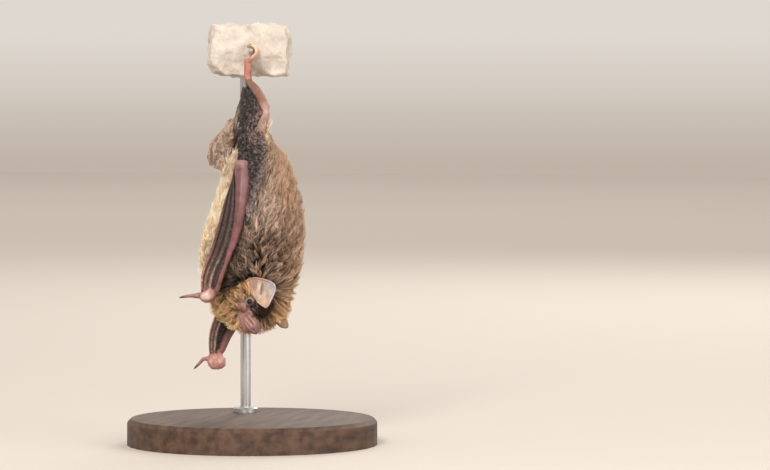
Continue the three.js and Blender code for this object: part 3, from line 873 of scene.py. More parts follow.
feet = []
claws = bmesh.new()
for side in SIDES:
    ankle, ball, curl = foot_places(side)
    parts = [sole(ankle, ball)]
    for number in range(TOE_COUNT):
        spread = number - (TOE_COUNT - 1) / 2
        toe = [ball + KNOB_WAY * 0.7 * spread * MM - (0, 0, 1.2 * MM)]
        toe += [curled(curl, spread, bend) for bend in TOE_BEND]
        parts.append(limb(toe, TOE_JOINTS, 10, 28, way=KNOB_WAY))
        hook = [curled(curl, spread, bend) for bend in CLAW_BEND]
        claws.from_mesh(as_mesh("claw", limb(hook, CLAW_TAPER, 8, 10, way=KNOB_WAY)))
    feet.append(as_mesh("foot_" + side, added([as_mesh("part", part) for part in parts])))
print("feet:", [len(mesh.vertices) for mesh in feet], "points, claws:", len(claws.verts))
# %% [markdown]
# ## How the coat lies, and its markings
# Hair points towards the tail, which is upwards in a hanging bat. Behind the ear it parts in a whorl,
# and below that it fans out from the ear as a ruff. Skin and coat share one set of markings, worked
# out from the place on the body: tan along the back, pinkish taupe flanks, a cream belly, an ochre
# throat and a dark crown that is partly dark fur and partly painted shade, with soft noise to blur
# every border.

# %% Lie of the coat
EAR_MIDDLE = np.array([-9.5, -5.5, 48.5]) * MM
WHORL = np.array([-11.5, -6.2, 56.5]) * MM
RUFF = [WHORL, np.array([-9, 2.8, 52.8]) * MM]
RUFF_REACH = 8 * MM
FAN_REACH = 5.5 * MM
EAR_TOP = np.array([-10.5, -6, 51.5]) * MM
TAILWARD = np.array([0, -0.3, 1.0])


def ruff_share(points):
    """1 in the ruff, which runs from the whorl behind the ear round to the folded forearm."""
    return np.max([close_to(middle, RUFF_REACH, points) for middle in RUFF], axis=0)


def lie_of_coat(points, normals):
    """The way hair points at each place, flat on the skin: tailward, but fanning out at the whorl."""
    fan = close_to(WHORL, FAN_REACH, points)
    below = fade(44 * MM, 54 * MM, points[:, 2])
    ruff = below * fade(12 * MM, 20 * MM, from_spot(EAR_MIDDLE, points))
    way = TAILWARD * (1 - ruff)[:, None] + unit(points - WHORL) * (2.2 * fan)[:, None]
    way = way + unit(points - EAR_MIDDLE) * (1.2 * ruff)[:, None]
    side = np.cross(normals, unit(way))
    way = way + side * (0.4 * wander(points, 5 * MM, 3) + 0.3 * wander(points, 2 * MM, 4))[:, None]
    return unit(way - normals * np.sum(way * normals, axis=1)[:, None])


# %% Colours of the coat, in linear light
TAN = np.array([0.54, 0.355, 0.235])
TAUPE = np.array([0.7, 0.51, 0.4])
CREAM = np.array([0.95, 0.73, 0.51])
OCHRE = np.array([1.0, 0.62, 0.32])
GINGER = np.array([1.0, 0.54, 0.27])
SEPIA = np.array([0.36, 0.19, 0.085])
CROWN_FUR_AND_SHADE = np.array([0.05, 0.023, 0.011])
RUMP = np.array([1, 0.73, 0.49])
NAPE = np.array([1, 0.62, 0.32])
CHEEK = np.array([0.72, 0.39, 0.2])
FRINGE = np.array([0.95, 0.74, 0.46])
BY_FOREARM = (0.17, 0.12, 0.09)
RUFF_DARKENS = (0.33, 0.27, 0.22)
ROOT_SHADE = np.array([0.02, 0.013, 0.01])


def markings(points):
    """The colour of the hair tips at each place on the body."""
    x, y, z = (points / MM).T
    blur = 1.6 * wander(points, 3 * MM, 11) + 0.8 * wander(points, 1.2 * MM, 12)
    around = np.degrees(np.arctan2(x, -y)) + 5 * blur
    colours = mixed(np.tile(TAN, (len(points), 1)), TAUPE, smoothstep(25, 55, np.abs(around)))
    colours = mixed(colours, CREAM, smoothstep(112, 138, np.abs(around)))
    colours = mixed(colours, RUMP, smoothstep(84, 95, z + blur) * 0.8)
    colours = mixed(colours, NAPE, fade(38, 50, z + blur) * smoothstep(-2, -7, y))
    f, l, u = in_head(points).T
    throat = smoothstep(1, 5, -u + 0.4 * blur) * fade(9, 14, np.hypot(f - 2, u + 6))
    colours = mixed(colours, OCHRE, throat * smoothstep(-6, -1, y) * 0.9)
    by_ear = fade(1.5, 4.5, from_spot(EAR_TOP, points) / MM + 0.5 * blur)
    colours = mixed(colours, SEPIA, 0.8 * by_ear)
    streak = np.exp(-(((y + 12.2) / 1.4) ** 2) - ((z - 77.5) / 4.5) ** 2) * (x < 0)
    colours = mixed(colours, SEPIA, 0.5 * streak)
    colours = mixed(colours, colours * RUFF_DARKENS, ruff_share(points))
    colours = mixed(colours, BY_FOREARM, 0.9 * close_to(RUFF[1], 5 * MM, points))
    # Dark fur and painted shade: the crown is painted nearly black.
    from_crown = np.hypot((f - 7) * 0.5, l * 0.5) + np.abs(u) * 0.6 + 0.4 * blur
    colours = mixed(colours, CROWN_FUR_AND_SHADE, fade(1.2, 3, from_crown) * (u > -1.5))
    patches = 1 + 0.2 * wander(points, 6 * MM, 15) + 0.16 * wander(points, 2.4 * MM, 16)
    return colours * patches[:, None]


def root_dark(points):
    """How dark the roots of hair are: nearly black in the ruff, where it parts, and milder elsewhere."""
    return np.clip(0.55 + 0.18 * wander(points, 3 * MM, 14) + 0.75 * ruff_share(points), 0, 1)


def head_markings(points):
    """The colour of the hair tips on the head."""
    f, l, u = in_head(points).T
    blur = 0.7 * wander(points, 1.4 * MM, 13)
    colours = np.tile(CHEEK, (len(points), 1))
    by_ear = fade(1.0, 3.6, np.hypot(f - 1.2, u - 0.6) + blur)
    colours = mixed(colours, GINGER, by_ear * 0.9)
    # Dark fur and painted shade: the forehead beside the snout is painted nearly black.
    forehead = smoothstep(-2.8, -1.4, u + blur) * smoothstep(3, 5.2, f) * fade(4.5, 6.5, l)
    colours = mixed(colours, CROWN_FUR_AND_SHADE, forehead)
    colours = mixed(colours, TAUPE, smoothstep(3, 6, u + blur) * fade(0, 3, f) * 0.7)
    colours = mixed(colours, OCHRE, smoothstep(3, 6, -u + blur) * 0.8)
    below_ear = smoothstep(1.6, 3.2, -u + blur) * fade(-1, 2, f)
    colours = mixed(colours, SEPIA * 0.7, 0.85 * below_ear)
    colours = mixed(colours, FRINGE, smoothstep(4.6, 6, -u + blur) * smoothstep(3.5, 6, f))
    patches = 1 + 0.35 * wander(points, 1.1 * MM, 17) + 0.2 * wander(points, 0.5 * MM, 18)
    return colours * patches[:, None]


# %% Unwraps of body and head
BODY_ENDS = (0.03, 0.11)
HEAD_BACK = 9
HEAD_LENGTH = 22


def round_and_along(turn, height):
    """Places on the map from a turn in radians and a height from 0 to 1."""
    return np.stack([turn / (2 * math.pi) + 0.5, np.clip(height, 0, 1)], axis=1)


def unwrapped_body(points):
    """The trunk unrolled like a label: the angle round its long axis, and the height along it."""
    x, y, z = points.T
    low, high = BODY_ENDS
    return round_and_along(np.arctan2(x, -y), (z - low) / (high - low))


def unwrapped_head(points):
    """The head unrolled round the way it faces."""
    f, l, u = in_head(points).T
    return round_and_along(np.arctan2(l, u), (f + HEAD_BACK) / HEAD_LENGTH)


MID_BACK = np.array([[0, -0.016, 0.065]])
print("markings at the mid back:", markings(MID_BACK).round(3))

# %% [markdown]
# ## One skin and its colours
# Body, head, lids and limbs are joined in one skin. Its colours are painted point by point from what
# lies nearest: reddish feet, brown-pink shins, mauve forearms with a painted highlight low down, pale
# wrists with a painted highlight on each knuckle, a brownish pink snout and lids with painted light and
# shade on the folds and wrinkles of the snout, and dark skin wherever the coat covers it.

# %% Bare skin and fur of the face
def bare_face(spots):
    """How bare the skin is at places in the head's frame: 1 on the snout and round the eyes."""
    f, l, u = spots[:, 0], np.abs(spots[:, 1]), spots[:, 2]
    blur = 0.5 * wander(spots, 0.8, 81)
    snout = smoothstep(3.0, 4.6, f + blur + 1.3 * smoothstep(-1.8, -3.2, u))
    snout *= fade(-2.0, -1.2, u + blur - 0.5 * smoothstep(8, 10, f))
    tip = smoothstep(10.0, 10.8, f + blur)
    eye = fade(1.1, 1.7, from_spot(EYE_SPOT, np.stack([f, l, u], axis=1)) + 0.4 * blur)
    return np.max([snout, tip, eye], axis=0) * (f > 0)


# %% Skin colours
SNOUT = np.array([0.24, 0.115, 0.1])
# Painted light on the raised folds of the snout.
SNOUT_RIDGE_LIGHT = (0.42, 0.26, 0.225)
SNOUT_TIP = (0.2, 0.085, 0.09)
# Painted shade in the sunk folds of the snout.
SNOUT_CREASE_SHADE = (0.1, 0.036, 0.036)
CHEEK_SKIN = np.array([0.28, 0.15, 0.115])
BEFORE_EYE = (0.3, 0.25, 0.27)
LID_TONE = (0.24, 0.155, 0.145)
SOCKET_TONE = (0.022, 0.016, 0.017)
ELBOW_TONE = (0.32, 0.19, 0.165)
KNEE_TONE = (0.42, 0.25, 0.235)
LEG_SKIN = (0.3, 0.2, 0.165)
TOE_TONE = (0.7, 0.46, 0.32)
# A painted highlight: the pale colour of a spot on top of each wrist's knuckle, set out from the wrist and
# a little up.
KNUCKLE_HIGHLIGHT = (0.6, 0.42, 0.37)
KNUCKLE_OUT = 2.6 * MM
KNUCKLE_UP = 0.3 * MM
PALM_TONE = np.array([0.25, 0.11, 0.088])
THUMB_CLAW = (0.045, 0.025, 0.02)
LIMB_TONES = {  # main colour and the colour of its mottles
    "forearm": ((0.11, 0.039, 0.042), (0.175, 0.073, 0.071)),
    "wrist": ((0.26, 0.11, 0.093), (0.37, 0.21, 0.185)),
    "thumb": ((0.19, 0.08, 0.062), (0.28, 0.14, 0.11)),
    "shin": ((0.17, 0.08, 0.05), (0.24, 0.125, 0.085)),
    "foot": ((0.32, 0.105, 0.085), (0.42, 0.19, 0.14)),
}


def with_limbs(colours, points):
    """Colours with the bare skin of arms, legs and feet, and painted highlights, painted over them."""
    height = points[:, 2] / MM
    blur = wander(points, 1.5 * MM, 82)
    for side in SIDES:
        at_palm = fade(3 * MM, 4.4 * MM, distance_to_path(points, PALMS[side]))
        colours = mixed(colours, PALM_TONE + 0.1 * blur[:, None], at_palm)
    for part, (tone, pale) in LIMB_TONES.items():
        near = fade(0.25 * MM, 1.1 * MM, distance_to(tree_of(*pair(part)), points))
        if part == "forearm":
            near = np.maximum(near, fade(2.5 * MM, 3.2 * MM, distance_to_path(points, ARM_LINE)))
            lower_forearm_highlight = near * fade(58, 70, height) * smoothstep(46, 50, height)
        mottled = np.array(tone) + (np.array(pale) - tone) * (0.5 + 0.5 * blur)[:, None]
        colours = mixed(colours, mottled, near)
    # A painted highlight: the forearm skin between about 46 and 70 mm up is made half again as light.
    colours = mixed(colours, colours * 1.5, lower_forearm_highlight)
    colours = mixed(colours, ELBOW_TONE, 0.8 * fade(1.5 * MM, 3.4 * MM, nearest_of(elbows, points)))
    at_thigh = fade(0.4 * MM, 2 * MM, distance_to(tree_of(*pair("thigh")), points))
    colours = mixed(colours, LEG_SKIN, smoothstep(92, 96, height) * at_thigh)
    colours = mixed(colours, KNEE_TONE, 0.85 * fade(1.6 * MM, 3.6 * MM, nearest_of(knees, points)))
    colours = mixed(colours, TOE_TONE, 0.9 * smoothstep(116, 118.5, height))
    # Painted highlight: a pale spot on each wrist's knuckle.
    knuckle_highlights = [PALMS[side][0] + (SIDES[side] * KNUCKLE_OUT, 0, KNUCKLE_UP) for side in SIDES]
    colours = mixed(colours, KNUCKLE_HIGHLIGHT, 0.9 * fade(0.9 * MM, 2.4 * MM, nearest_of(knuckle_highlights, points)))
    colours = mixed(colours, colours * 1.4, fade(27, 34, height))
    return mixed(colours, THUMB_CLAW, fade(1.2 * MM, 2.8 * MM, nearest_of(thumb_tips, points)))


def with_face(colours, points):
    """Colours with the bare snout, painted light and shade on its folds and wrinkles, and the lids painted
    over them.
    """
    spots = in_head(points)
    f, l, u = spots.T
    near_head = fade(0.9, 1.3, clay_distance(spots))
    # Random mottling plus painted shade in the wrinkles: darker in their creases, lighter on their ridges.
    grain = 0.5 + 0.25 * wander(spots, 0.7, 84) + 0.3 * wrinkles(spots)
    bare_tone = SNOUT * (0.75 + 0.5 * grain)[:, None]
    bare_tone = mixed(bare_tone, CHEEK_SKIN * (0.7 + 0.6 * grain)[:, None], fade(3.4, 6.2, f))
    bare_tone = mixed(bare_tone, SNOUT_TIP, 0.8 * smoothstep(9.4, 11, f))
    bare_tone = mixed(bare_tone, BEFORE_EYE, 0.7 * fade(0.5, 1.9, np.hypot(f - 4.9, u + 1.6)))
    colours = mixed(colours, bare_tone, near_head * bare_face(spots))
    # Painted light and shade on the folds: raised folds paler, sunk folds darker.
    mirrored = spots * (1, -1, 1)
    for path, width, rise in FACE_LINES:
        distance = np.minimum(distance_to_path(spots, path), distance_to_path(mirrored, path))
        close = fade(0.4 * width, 1.1 * width, distance) * near_head
        colours = mixed(colours, SNOUT_RIDGE_LIGHT if rise > 0 else SNOUT_CREASE_SHADE, 0.75 * close)
    for side in SIDES:
        ahead, aside = round_eye(spots, side)
        here = (ahead > 0.1) * near_head
        colours = mixed(colours, LID_TONE, here * fade(1.05, 1.6, aside))
        colours = mixed(colours, SOCKET_TONE, here * fade(0.72, 0.98, aside))
    return colours


def skin_colours(points):
    """The colour of the skin: the dark roots of the coat, with bare limbs and face over it."""
    under = np.clip(root_dark(points) + 0.15, 0, 0.93)
    colours = markings(points) * (1 - under)[:, None] + ROOT_SHADE * under[:, None]
    return with_face(with_limbs(colours, points), points)


skin_material = grained_material("bare_skin", 700, 0.16, 3000, 0.00007, 0.45)
skin_mesh = as_mesh("bat_skin", added([body, head] + lids + arms + legs + feet))
paint(skin_mesh, skin_colours(points_of(skin_mesh)))
skin = shown("bat_skin", skin_mesh, skin_material)
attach(skin, "root")
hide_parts("trunk", "neck", "head", *pair("thigh"), *pair("upper_arm"))
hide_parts(*pair("forearm"), *pair("wrist"), *pair("thumb"), *pair("shin"), *pair("foot"))
print("skin:", len(skin_mesh.polygons), "faces")

# %% Claws
HORN = (0.5, 0.36, 0.22)
HORN_TIP = (0.3, 0.22, 0.14)
HORN_DARKENS = (0.119, 0.1206)

claw_mesh = as_mesh("claws", claws)
claw_heights = points_of(claw_mesh)[:, 2]
horn = np.tile(HORN, (len(claw_heights), 1))
paint(claw_mesh, mixed(horn, HORN_TIP, smoothstep(*HORN_DARKENS, claw_heights)))
claw_piece = shown("claws", claw_mesh, grained_material("claw_horn", 900, 0.3, 3000, 0.00003, 0.3))
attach(claw_piece, "root")
print("claws:", len(claw_mesh.polygons), "faces")

# %% [markdown]
# ## Folded wings
# When a bat hangs at rest, its finger bones fold back along the forearm and the wing skin gathers
# between them in dark crinkles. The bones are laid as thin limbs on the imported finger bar, everything
# is fused, and soft noise then crumples the skin. Moving each point by noise that depends only on its
# place keeps both faces of the thin skin together.

# %% Finger bones
BAR_STOPS = {  # middle of the folded finger bar, then half its width, in millimetres
    "right": [
        (-11, 11, 45.7, 1.9),
        (-12.5, 9.8, 51.8, 2.5),
        (-13.6, 6.3, 59.4, 2.7),
        (-13.4, 4.1, 66.8, 2.7),
        (-12.6, 3, 74.2, 2.1),
        (-11.2, 2.4, 84.4, 0.9),
    ],
    "left": [
        (8.2, 13.4, 24.1, 1.4),
        (8, 15.2, 31.3, 1.6),
        (9.2, 12.2, 40.5, 1.9),
        (12.2, 6.8, 50, 1.7),
        (13.6, 0.6, 60, 0.9),
    ],
}
BARS = {side: np.array(stops)[:, :3] * MM for side, stops in BAR_STOPS.items()}
BAR_HALF_WIDTHS = {side: np.array(stops)[:, 3] * MM for side, stops in BAR_STOPS.items()}
BONES = [  # place across the bar, radius in mm, colour
    (0.9, 0.34, (0.17, 0.085, 0.066)),
    (0.56, 0.3, (0.026, 0.015, 0.012)),
    (0.3, 0.24, (0.085, 0.052, 0.042)),
    (-0.02, 0.32, (0.03, 0.018, 0.015)),
    (-0.34, 0.26, (0.11, 0.075, 0.065)),
    (-0.68, 0.34, (0.018, 0.011, 0.01)),
]
BONE_STANDS_OUT = 0.75 * MM
TIP_STARTS = 0.78
WING_VOXEL = 0.2 * MM
BONE_TAPER = np.array([0.9, 1, 0.9, 0.9, 0.5])


def bone_path(side, across_share, face):
    """A finger bone's way along the outer face of the folded bar, or along its inner face at -1."""
    path, half = BARS[side], BAR_HALF_WIDTHS[side]
    ahead = unit(np.gradient(path, axis=0))
    outward = np.array([SIDES[side], 0, 0])
    across = np.cross(ahead, outward)
    across = unit(across) * np.sign(across[:, 1:2] + 1e-9)
    out = unit(outward - ahead * (ahead @ outward)[:, None])
    bulge = math.sqrt(1 - across_share**2)
    return path + across * (across_share * half)[:, None] + out * BONE_STANDS_OUT * bulge * face


def slim_tip(points, side):
    """Draws the points round the far end of the finger bar in towards its middle."""
    stops = np.linspace(0, 1, 80)
    middle = along(BARS[side], stops)
    nearest = np.full(len(points), np.inf)
    index = np.zeros(len(points), dtype=int)
    for number, spot in enumerate(middle):
        distance = from_spot(spot, points)
        closer = distance < nearest
        nearest[closer], index[closer] = distance[closer], number
    slim = 0.8 * smoothstep(TIP_STARTS, 1, stops[index]) * fade(2.6 * MM, 3.4 * MM, nearest)
    return points + (middle[index] - points) * slim[:, None]


def crumple(points, amount, size):
    """Points moved by noise in all three ways."""
    moves = [wander(points, size, seed) for seed in (41, 42, 43)]
    finer = [0.45 * wander(points, size / 2, seed) for seed in (51, 52, 53)]
    return points + (np.array(moves) + finer).T * np.asarray(amount)[:, None]


# %% Web of the hand
FOREARMS = {  # from the elbow to the wrist
    "right": [(-13.8, -0.5, 74.6), (-14.8, 0, 66.5), (-14.5, 2.4, 59), (-13.1, 5.9, 51.6)],
    "left": [(14, -1.5, 52), (12.6, 4.2, 42.5), (10.4, 10, 33.4)],
}
WEB_ENDS = {"right": (-11.3, 8.8, 46.6), "left": (8.8, 12.6, 27)}
FOREARMS = {side: np.array(FOREARMS[side] + [WEB_ENDS[side]]) * MM for side in SIDES}
WEB_SPAN = {"right": (0.7, 0.12), "left": (0.62, 0.1)}
WEB_THICKNESS = 0.55 * MM
FAR_BAR_DRAWN_IN = 1.1 * MM
ELBOW_INSET = 0.6


def hand_web(side):
    """The sheet of wing skin between the folded fingers and the forearm."""
    sheet = bmesh.new()
    bmesh.ops.create_grid(sheet, x_segments=8, y_segments=40, size=0.5)
    flat = np.array([vert.co for vert in sheet.verts]) + 0.5
    far, near = WEB_SPAN[side]
    fingers = along(BARS[side], near + (far - near) * (1 - flat[:, 1]))
    arm = along(FOREARMS[side], 0.1 + 0.88 * flat[:, 1])
    for vert, spot in zip(sheet.verts, fingers * (1 - flat[:, :1]) + arm * flat[:, :1]):
        vert.co = spot
    bmesh.ops.recalc_face_normals(sheet, faces=sheet.faces)
    bmesh.ops.solidify(sheet, geom=sheet.faces, thickness=WEB_THICKNESS)
    bmesh.ops.recalc_face_normals(sheet, faces=sheet.faces)
    return sheet


def left_bar_drawn_in(points):
    """The left finger bar lies closer to its forearm than a straight bar would."""
    height = points[:, 2] / MM
    share = smoothstep(24.5, 31, height) * fade(40, 48, height)
    share *= smoothstep(1.2 * MM, 3.2 * MM, distance_to_path(points, FOREARMS["left"]))
    return points - np.outer(share, (0, FAR_BAR_DRAWN_IN, 0))


def narrowed_to_left_elbow(points):
    """The wing skin above the left elbow runs down to a point that ends behind it."""
    elbow = np.array(ELBOWS["left"]) / MM
    x, y, height = (points / MM).T
    share = smoothstep(57, 60, height) * fade(60.5, 71, height) * fade(-1.5, 0.5, y)
    inner = elbow[0] - ELBOW_INSET
    across = inner + (x - inner) * 0.4
    goal = np.stack([across, elbow[1] + (y - elbow[1]) * 0.35, height - 1.5], axis=1)
    return points + (goal * MM - points) * share[:, None]


# %% Wing colours
# Painted shade: near black in the creases of the wing skin.
CREASE_SHADE = (0.014, 0.011, 0.011)
# The grey of the wing skin on its crests, lighter than in the creases as painted light.
CREST = (0.048, 0.038, 0.035)
# Painted highlights: pale specks on the highest crests.
SPECK_HIGHLIGHT = (0.105, 0.086, 0.081)
RIM = (0.21, 0.155, 0.145)
RIM_PATH = [(0, -7.1, 100), (0, -7.1, 95.3), (0, -7.4, 89.3), (0, -5.8, 80.2)]
RIM_PATH += [(0, -3.6, 74.1), (0, -2, 69.6)]
BY_LEG = (0.26, 0.155, 0.15)
BETWEEN_BONES = (0.07, 0.042, 0.033)
BONE_DIM = 0.72
BONES_PALER_BELOW = (50, 62)
SKIN_PALER_BELOW = (68, 80)
LEFT_IS_PALER = 3.6

leg_tree = tree_of(*pair("shin"), *pair("thigh"))


def with_bones(colours, points, side, reach, bones):
    """Colours with the finger bones painted over them. reach says how far each bone lies."""
    paler = np.full(len(points), BONE_DIM)
    if side == "right":
        paler += 1.7 * fade(*BONES_PALER_BELOW, points[:, 2] / MM)
    else:
        paler *= LEFT_IS_PALER
    for distance, (_, radius, tone) in zip(reach, bones):
        at_this = fade((radius + 0.05) * MM, (radius + 0.25) * MM, distance)
        colours = mixed(colours, np.outer(paler, tone), at_this)
    return colours


def wing_colours(points, side, crease, reach, bones):
    """Painted shade near black in the creases, lighter on the crests as painted light, painted highlight
    specks, and paler at its rim, by the leg and the wrist.
    """
    height = points[:, 2] / MM
    at_bone = fade(0.5 * MM, 1.3 * MM, reach.min(axis=0))
    # Painted shade in the creases and painted light on the crests, following the crumpled height.
    colours = mixed(np.tile(CREASE_SHADE, (len(points), 1)), CREST, smoothstep(-0.25, 0.6, crease))
    # Painted highlights as specks on the highest crests.
    speck_highlights = smoothstep(0.7, 1.15, crease + 0.25 * wander(points, 0.5 * MM, 65))
    colours = mixed(colours, SPECK_HIGHLIGHT, speck_highlights)
    if side == "right":
        at_rim = fade(0.5, 1.9, distance_to_path(points / MM * (0, 1, 1), RIM_PATH))
        colours = mixed(colours, RIM, 0.55 * at_rim * smoothstep(-0.9, 0.2, crease))
    by_leg = fade(0.6 * MM, 3 * MM, distance_to(leg_tree, points)) * fade(101, 105, height)
    colours = mixed(colours, BY_LEG, 0.65 * by_leg * smoothstep(-0.5, 0.4, crease))
    if side == "right":
        colours = mixed(colours, colours * 1.5, (1 - at_bone) * fade(*SKIN_PALER_BELOW, height))
    colours = mixed(colours, BETWEEN_BONES, 0.8 * at_bone * fade(56, 76, height))
    colours = with_bones(colours, points, side, reach, bones)
    from_wrist = from_spot(PALMS[side][0], points) + 0.7 * MM * wander(points, 0.8 * MM, 64)
    return mixed(colours, PALM_TONE, fade(2.4 * MM, 4.2 * MM, from_wrist))


# %% Wing skin
wing_material = grained_material("wing_skin", 1500, 0.5, 2600, 0.00012, 0.66)
wing_material.node_tree.nodes["Principled BSDF"].inputs["Specular IOR Level"].default_value = 0.25

for side in SIDES:
    bones = [
        (bone_path(side, share, face), radius, tone) for share, radius, tone in BONES for face in (1, -1)
    ]
    rods = [limb(path, BONE_TAPER * radius * MM, 10, 40, blunt=0.3) for path, radius, _ in bones]
    nodes = [f"fingers_{side}", f"wing_membrane_{side}"]
    copies = [solid_copy(node, 0) for node in nodes]
    wing = fused("wing_" + side, copies + rods + [hand_web(side)], WING_VOXEL)
    soften(wing, 3)
    points = points_of(wing)
    reach = np.array([distance_to_path(points, path) for path, _, _ in bones])
    billow = 1.2 * np.abs(wander(points, 0.62 * MM, 61)) + 1.1 * np.abs(wander(points, 0.36 * MM, 62))
    crease = 1.5 * billow - 0.85 + 0.3 * wander(points, 2.4 * MM, 63)
    skin_only = 1 - 0.95 * fade(0.5 * MM, 1.3 * MM, reach.min(axis=0))
    skin_only *= smoothstep(0, 3 * MM, distance_to(tree_of("wrist_" + side), points))
    if side == "left":
        skin_only *= smoothstep(1.4 * MM, 3 * MM, distance_to_path(points, FOREARMS[side]))
    set_points(wing, slim_tip(crumple(points, skin_only * 0.35 * MM, 1.5 * MM), side))
    raised(wing, skin_only * (billow - 0.45) * 0.45 * MM)
    if side == "left":
        set_points(wing, narrowed_to_left_elbow(left_bar_drawn_in(points_of(wing))))
    paint(wing, wing_colours(points, side, crease, reach, bones))
    piece = shown("wing_" + side, wing, wing_material)
    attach(piece, "root")
    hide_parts(*nodes)
    print(piece.name, len(wing.polygons), "faces")

# %% [markdown]
# ## Tail and tail skin
# The tail bends round the rump and carries a web of brown skin between the legs. It is fused from its
# solids like the wings, but crumples less, and the tail itself shows as a pink cord along the web.

# %% Tail web
TAIL_PATH = [(0, -3, 94), (0, 0.2, 100.4), (0, 4.8, 98.4), (0, 12.2, 91.2), (0, 13.2, 89)]
TAIL_PATH = np.array(TAIL_PATH + [(0, 13.2, 85), (0, 9.6, 84.4)]) * MM
WEB_FOLD = [(7.6, 4.2, 99), (7, 5.2, 95.5), (5.6, 5.9, 92), (4, 6, 88.5)]
WEB_FOLD_RADII = np.array([0.9, 1.7, 1.8, 1.2]) * MM
WEB_BROWN = (0.17, 0.115, 0.085)
WEB_CREST = (0.36, 0.27, 0.205)
WEB_BY_RUMP = (0.06, 0.045, 0.042)
TAIL_TONE = (0.34, 0.2, 0.16)


def web_fold(way):
    """The flat fold of tail skin from a thigh to the tail."""
    path = np.array(WEB_FOLD) * (way, 1, 1) * MM
    return limb(path, WEB_FOLD_RADII, 16, 24, 0.3, (1, 0, 0))


tail_nodes = ["tail"] + pair("tail_membrane")
copies = [solid_copy(node, 0) for node in tail_nodes]
web = fused("tail_web", copies + [web_fold(way) for way in SIDES.values()], WING_VOXEL)
soften(web, 5)
points = points_of(web)
crease = wander(points, 1.4 * MM, 71) + 0.5 * wander(points, 0.6 * MM, 72)
set_points(web, crumple(points, np.full(len(points), 0.2 * MM), 1.4 * MM))
colours = mixed(np.tile(WEB_BROWN, (len(points), 1)), WEB_CREST, smoothstep(-0.6, 0.6, crease))
colours = mixed(colours, WEB_BY_RUMP, smoothstep(97 * MM, 104 * MM, points[:, 2] + 2 * MM * crease))
colours = mixed(colours, TAIL_TONE, fade(0.7 * MM, 1.1 * MM, distance_to_path(points, TAIL_PATH)))
paint(web, colours)
web_piece = shown("tail_web", web, wing_material)
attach(web_piece, "root")
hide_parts(*tail_nodes)
print("tail web:", len(web.polygons), "faces")

# %% [markdown]
# ## Ears
# The ear is a short broad cup whose margins meet in a rounded tip, with a slim upright blade, the
# tragus, in front of its opening. It starts as a flat grid that is laid between the two margins and
# dished, then given thickness. Thin limbs along the margins make the rolled rim.

# %% Ear shape
EAR_REAR = [(-3.3, 5, -0.5), (-2, 6.4, 3.5), (0.5, 7.1, 6.7), (2.8, 7.7, 8.6), (4.4, 8, 8.9)]
EAR_FRONT = [(4.5, 4.8, 1.3), (8.1, 6.7, 3.4), (8.7, 7.3, 4.6), (6.6, 7.9, 7.4), (5, 8, 8.8)]
EAR_CUP = 1.6
EAR_THICKNESS = 0.4
EAR_FOLD = {"right": 1, "left": 0.47}
EAR_LEAN = {"right": 0, "left": 3.6}
EAR_SPREAD = {"right": 0, "left": 0.32}
EAR_RIM = [0.3, 0.3, 0.26, 0.24, 0.22]
TRAGUS_RADII = [0.62, 0.72, 0.7, 0.62]
EAR_RIBS = 4
EAR_VOXEL = 0.15 * MM
TRAGUS = [(4, 5.4, 2.4), (2.6, 6.2, 3.2), (1.3, 6.35, 3.9), (0.0, 6.45, 4.5)]


def ear_spots(s, t):
    """Places on the ear from its rear margin (s 0) to its front one (s 1), and from base to tip."""
    rear, front = along(EAR_REAR, t), along(EAR_FRONT, t)
    dish = np.sin(math.pi * s) * np.sin(math.pi * np.clip(t, 0, 1))
    ribs = 0.1 * np.cos(2 * math.pi * (EAR_RIBS * t + 0.6 * s)) * dish
    spots = rear * (1 - s)[:, None] + front * s[:, None]
    spots[:, 1] -= EAR_CUP * dish + ribs
    return spots


def moved(shape, move):
    """Moves all points of a bmesh by a function of their places."""
    spots = move(np.array([vert.co for vert in shape.verts]))
    for vert, spot in zip(shape.verts, spots):
        vert.co = spot
    bmesh.ops.recalc_face_normals(shape, faces=shape.faces)


def leaning(heights, side):
    """How far forward and outward the ear is laid at heights above its base, as the left ear is."""
    lean = EAR_LEAN[side] * smoothstep(3, 8.8, heights)
    spread = EAR_SPREAD[side] * np.clip(heights, 0, 9)
    return np.stack([lean, spread, np.zeros(len(heights))], axis=1)


def ear_shape(side):
    """The cup of an ear with its rolled rim and the tragus, fused and placed on the head."""
    flip = np.array([1, SIDES[side], EAR_FOLD[side]])
    sheet = bmesh.new()
    bmesh.ops.create_grid(sheet, x_segments=30, y_segments=30, size=0.5)
    moved(sheet, lambda flat: ear_spots(flat[:, 0] + 0.5, flat[:, 1] + 0.5))
    bmesh.ops.solidify(sheet, geom=sheet.faces, thickness=EAR_THICKNESS)
    bmesh.ops.recalc_face_normals(sheet, faces=sheet.faces)
    parts = [sheet] + [limb(path, EAR_RIM, 8, 30, blunt=0.2) for path in (EAR_REAR, EAR_FRONT)]
    parts.append(limb(TRAGUS, TRAGUS_RADII, 12, 24, 0.36, way=(0, 1, 0.2), blunt=0.2))
    for part in parts:
        moved(part, lambda spots: from_head((spots + leaning(spots[:, 2], side)) * flip))
    mesh = fused("ear_" + side, parts, EAR_VOXEL)
    soften(mesh, 3)
    return mesh


# %% Ear colours
EAR_BASE_TONE = (0.6, 0.42, 0.32)
EAR_TIP_TONE = (0.55, 0.5, 0.52)
HOLLOW_TONE = (0.36, 0.25, 0.27)
SHADE_TONE = (0.3, 0.19, 0.15)
MIDDLE_TONE = (0.56, 0.45, 0.3)
FRONT_TONE = (0.7, 0.46, 0.34)
REAR_TONE = (0.62, 0.36, 0.24)
TRAGUS_TONE = (0.62, 0.47, 0.35)
FAR_RIM_TONE = (0.1, 0.06, 0.045)
EAR_TONE = 0.76
# Painted shade: the left ear's colours are multiplied by this darker, warmer tone.
FAR_EAR_SHADE = (0.62, 0.42, 0.26)
SHADE_PATH = [(3.6, 5.2, 3.9), (2.0, 5.8, 4.6), (0.7, 6.2, 5.3)]


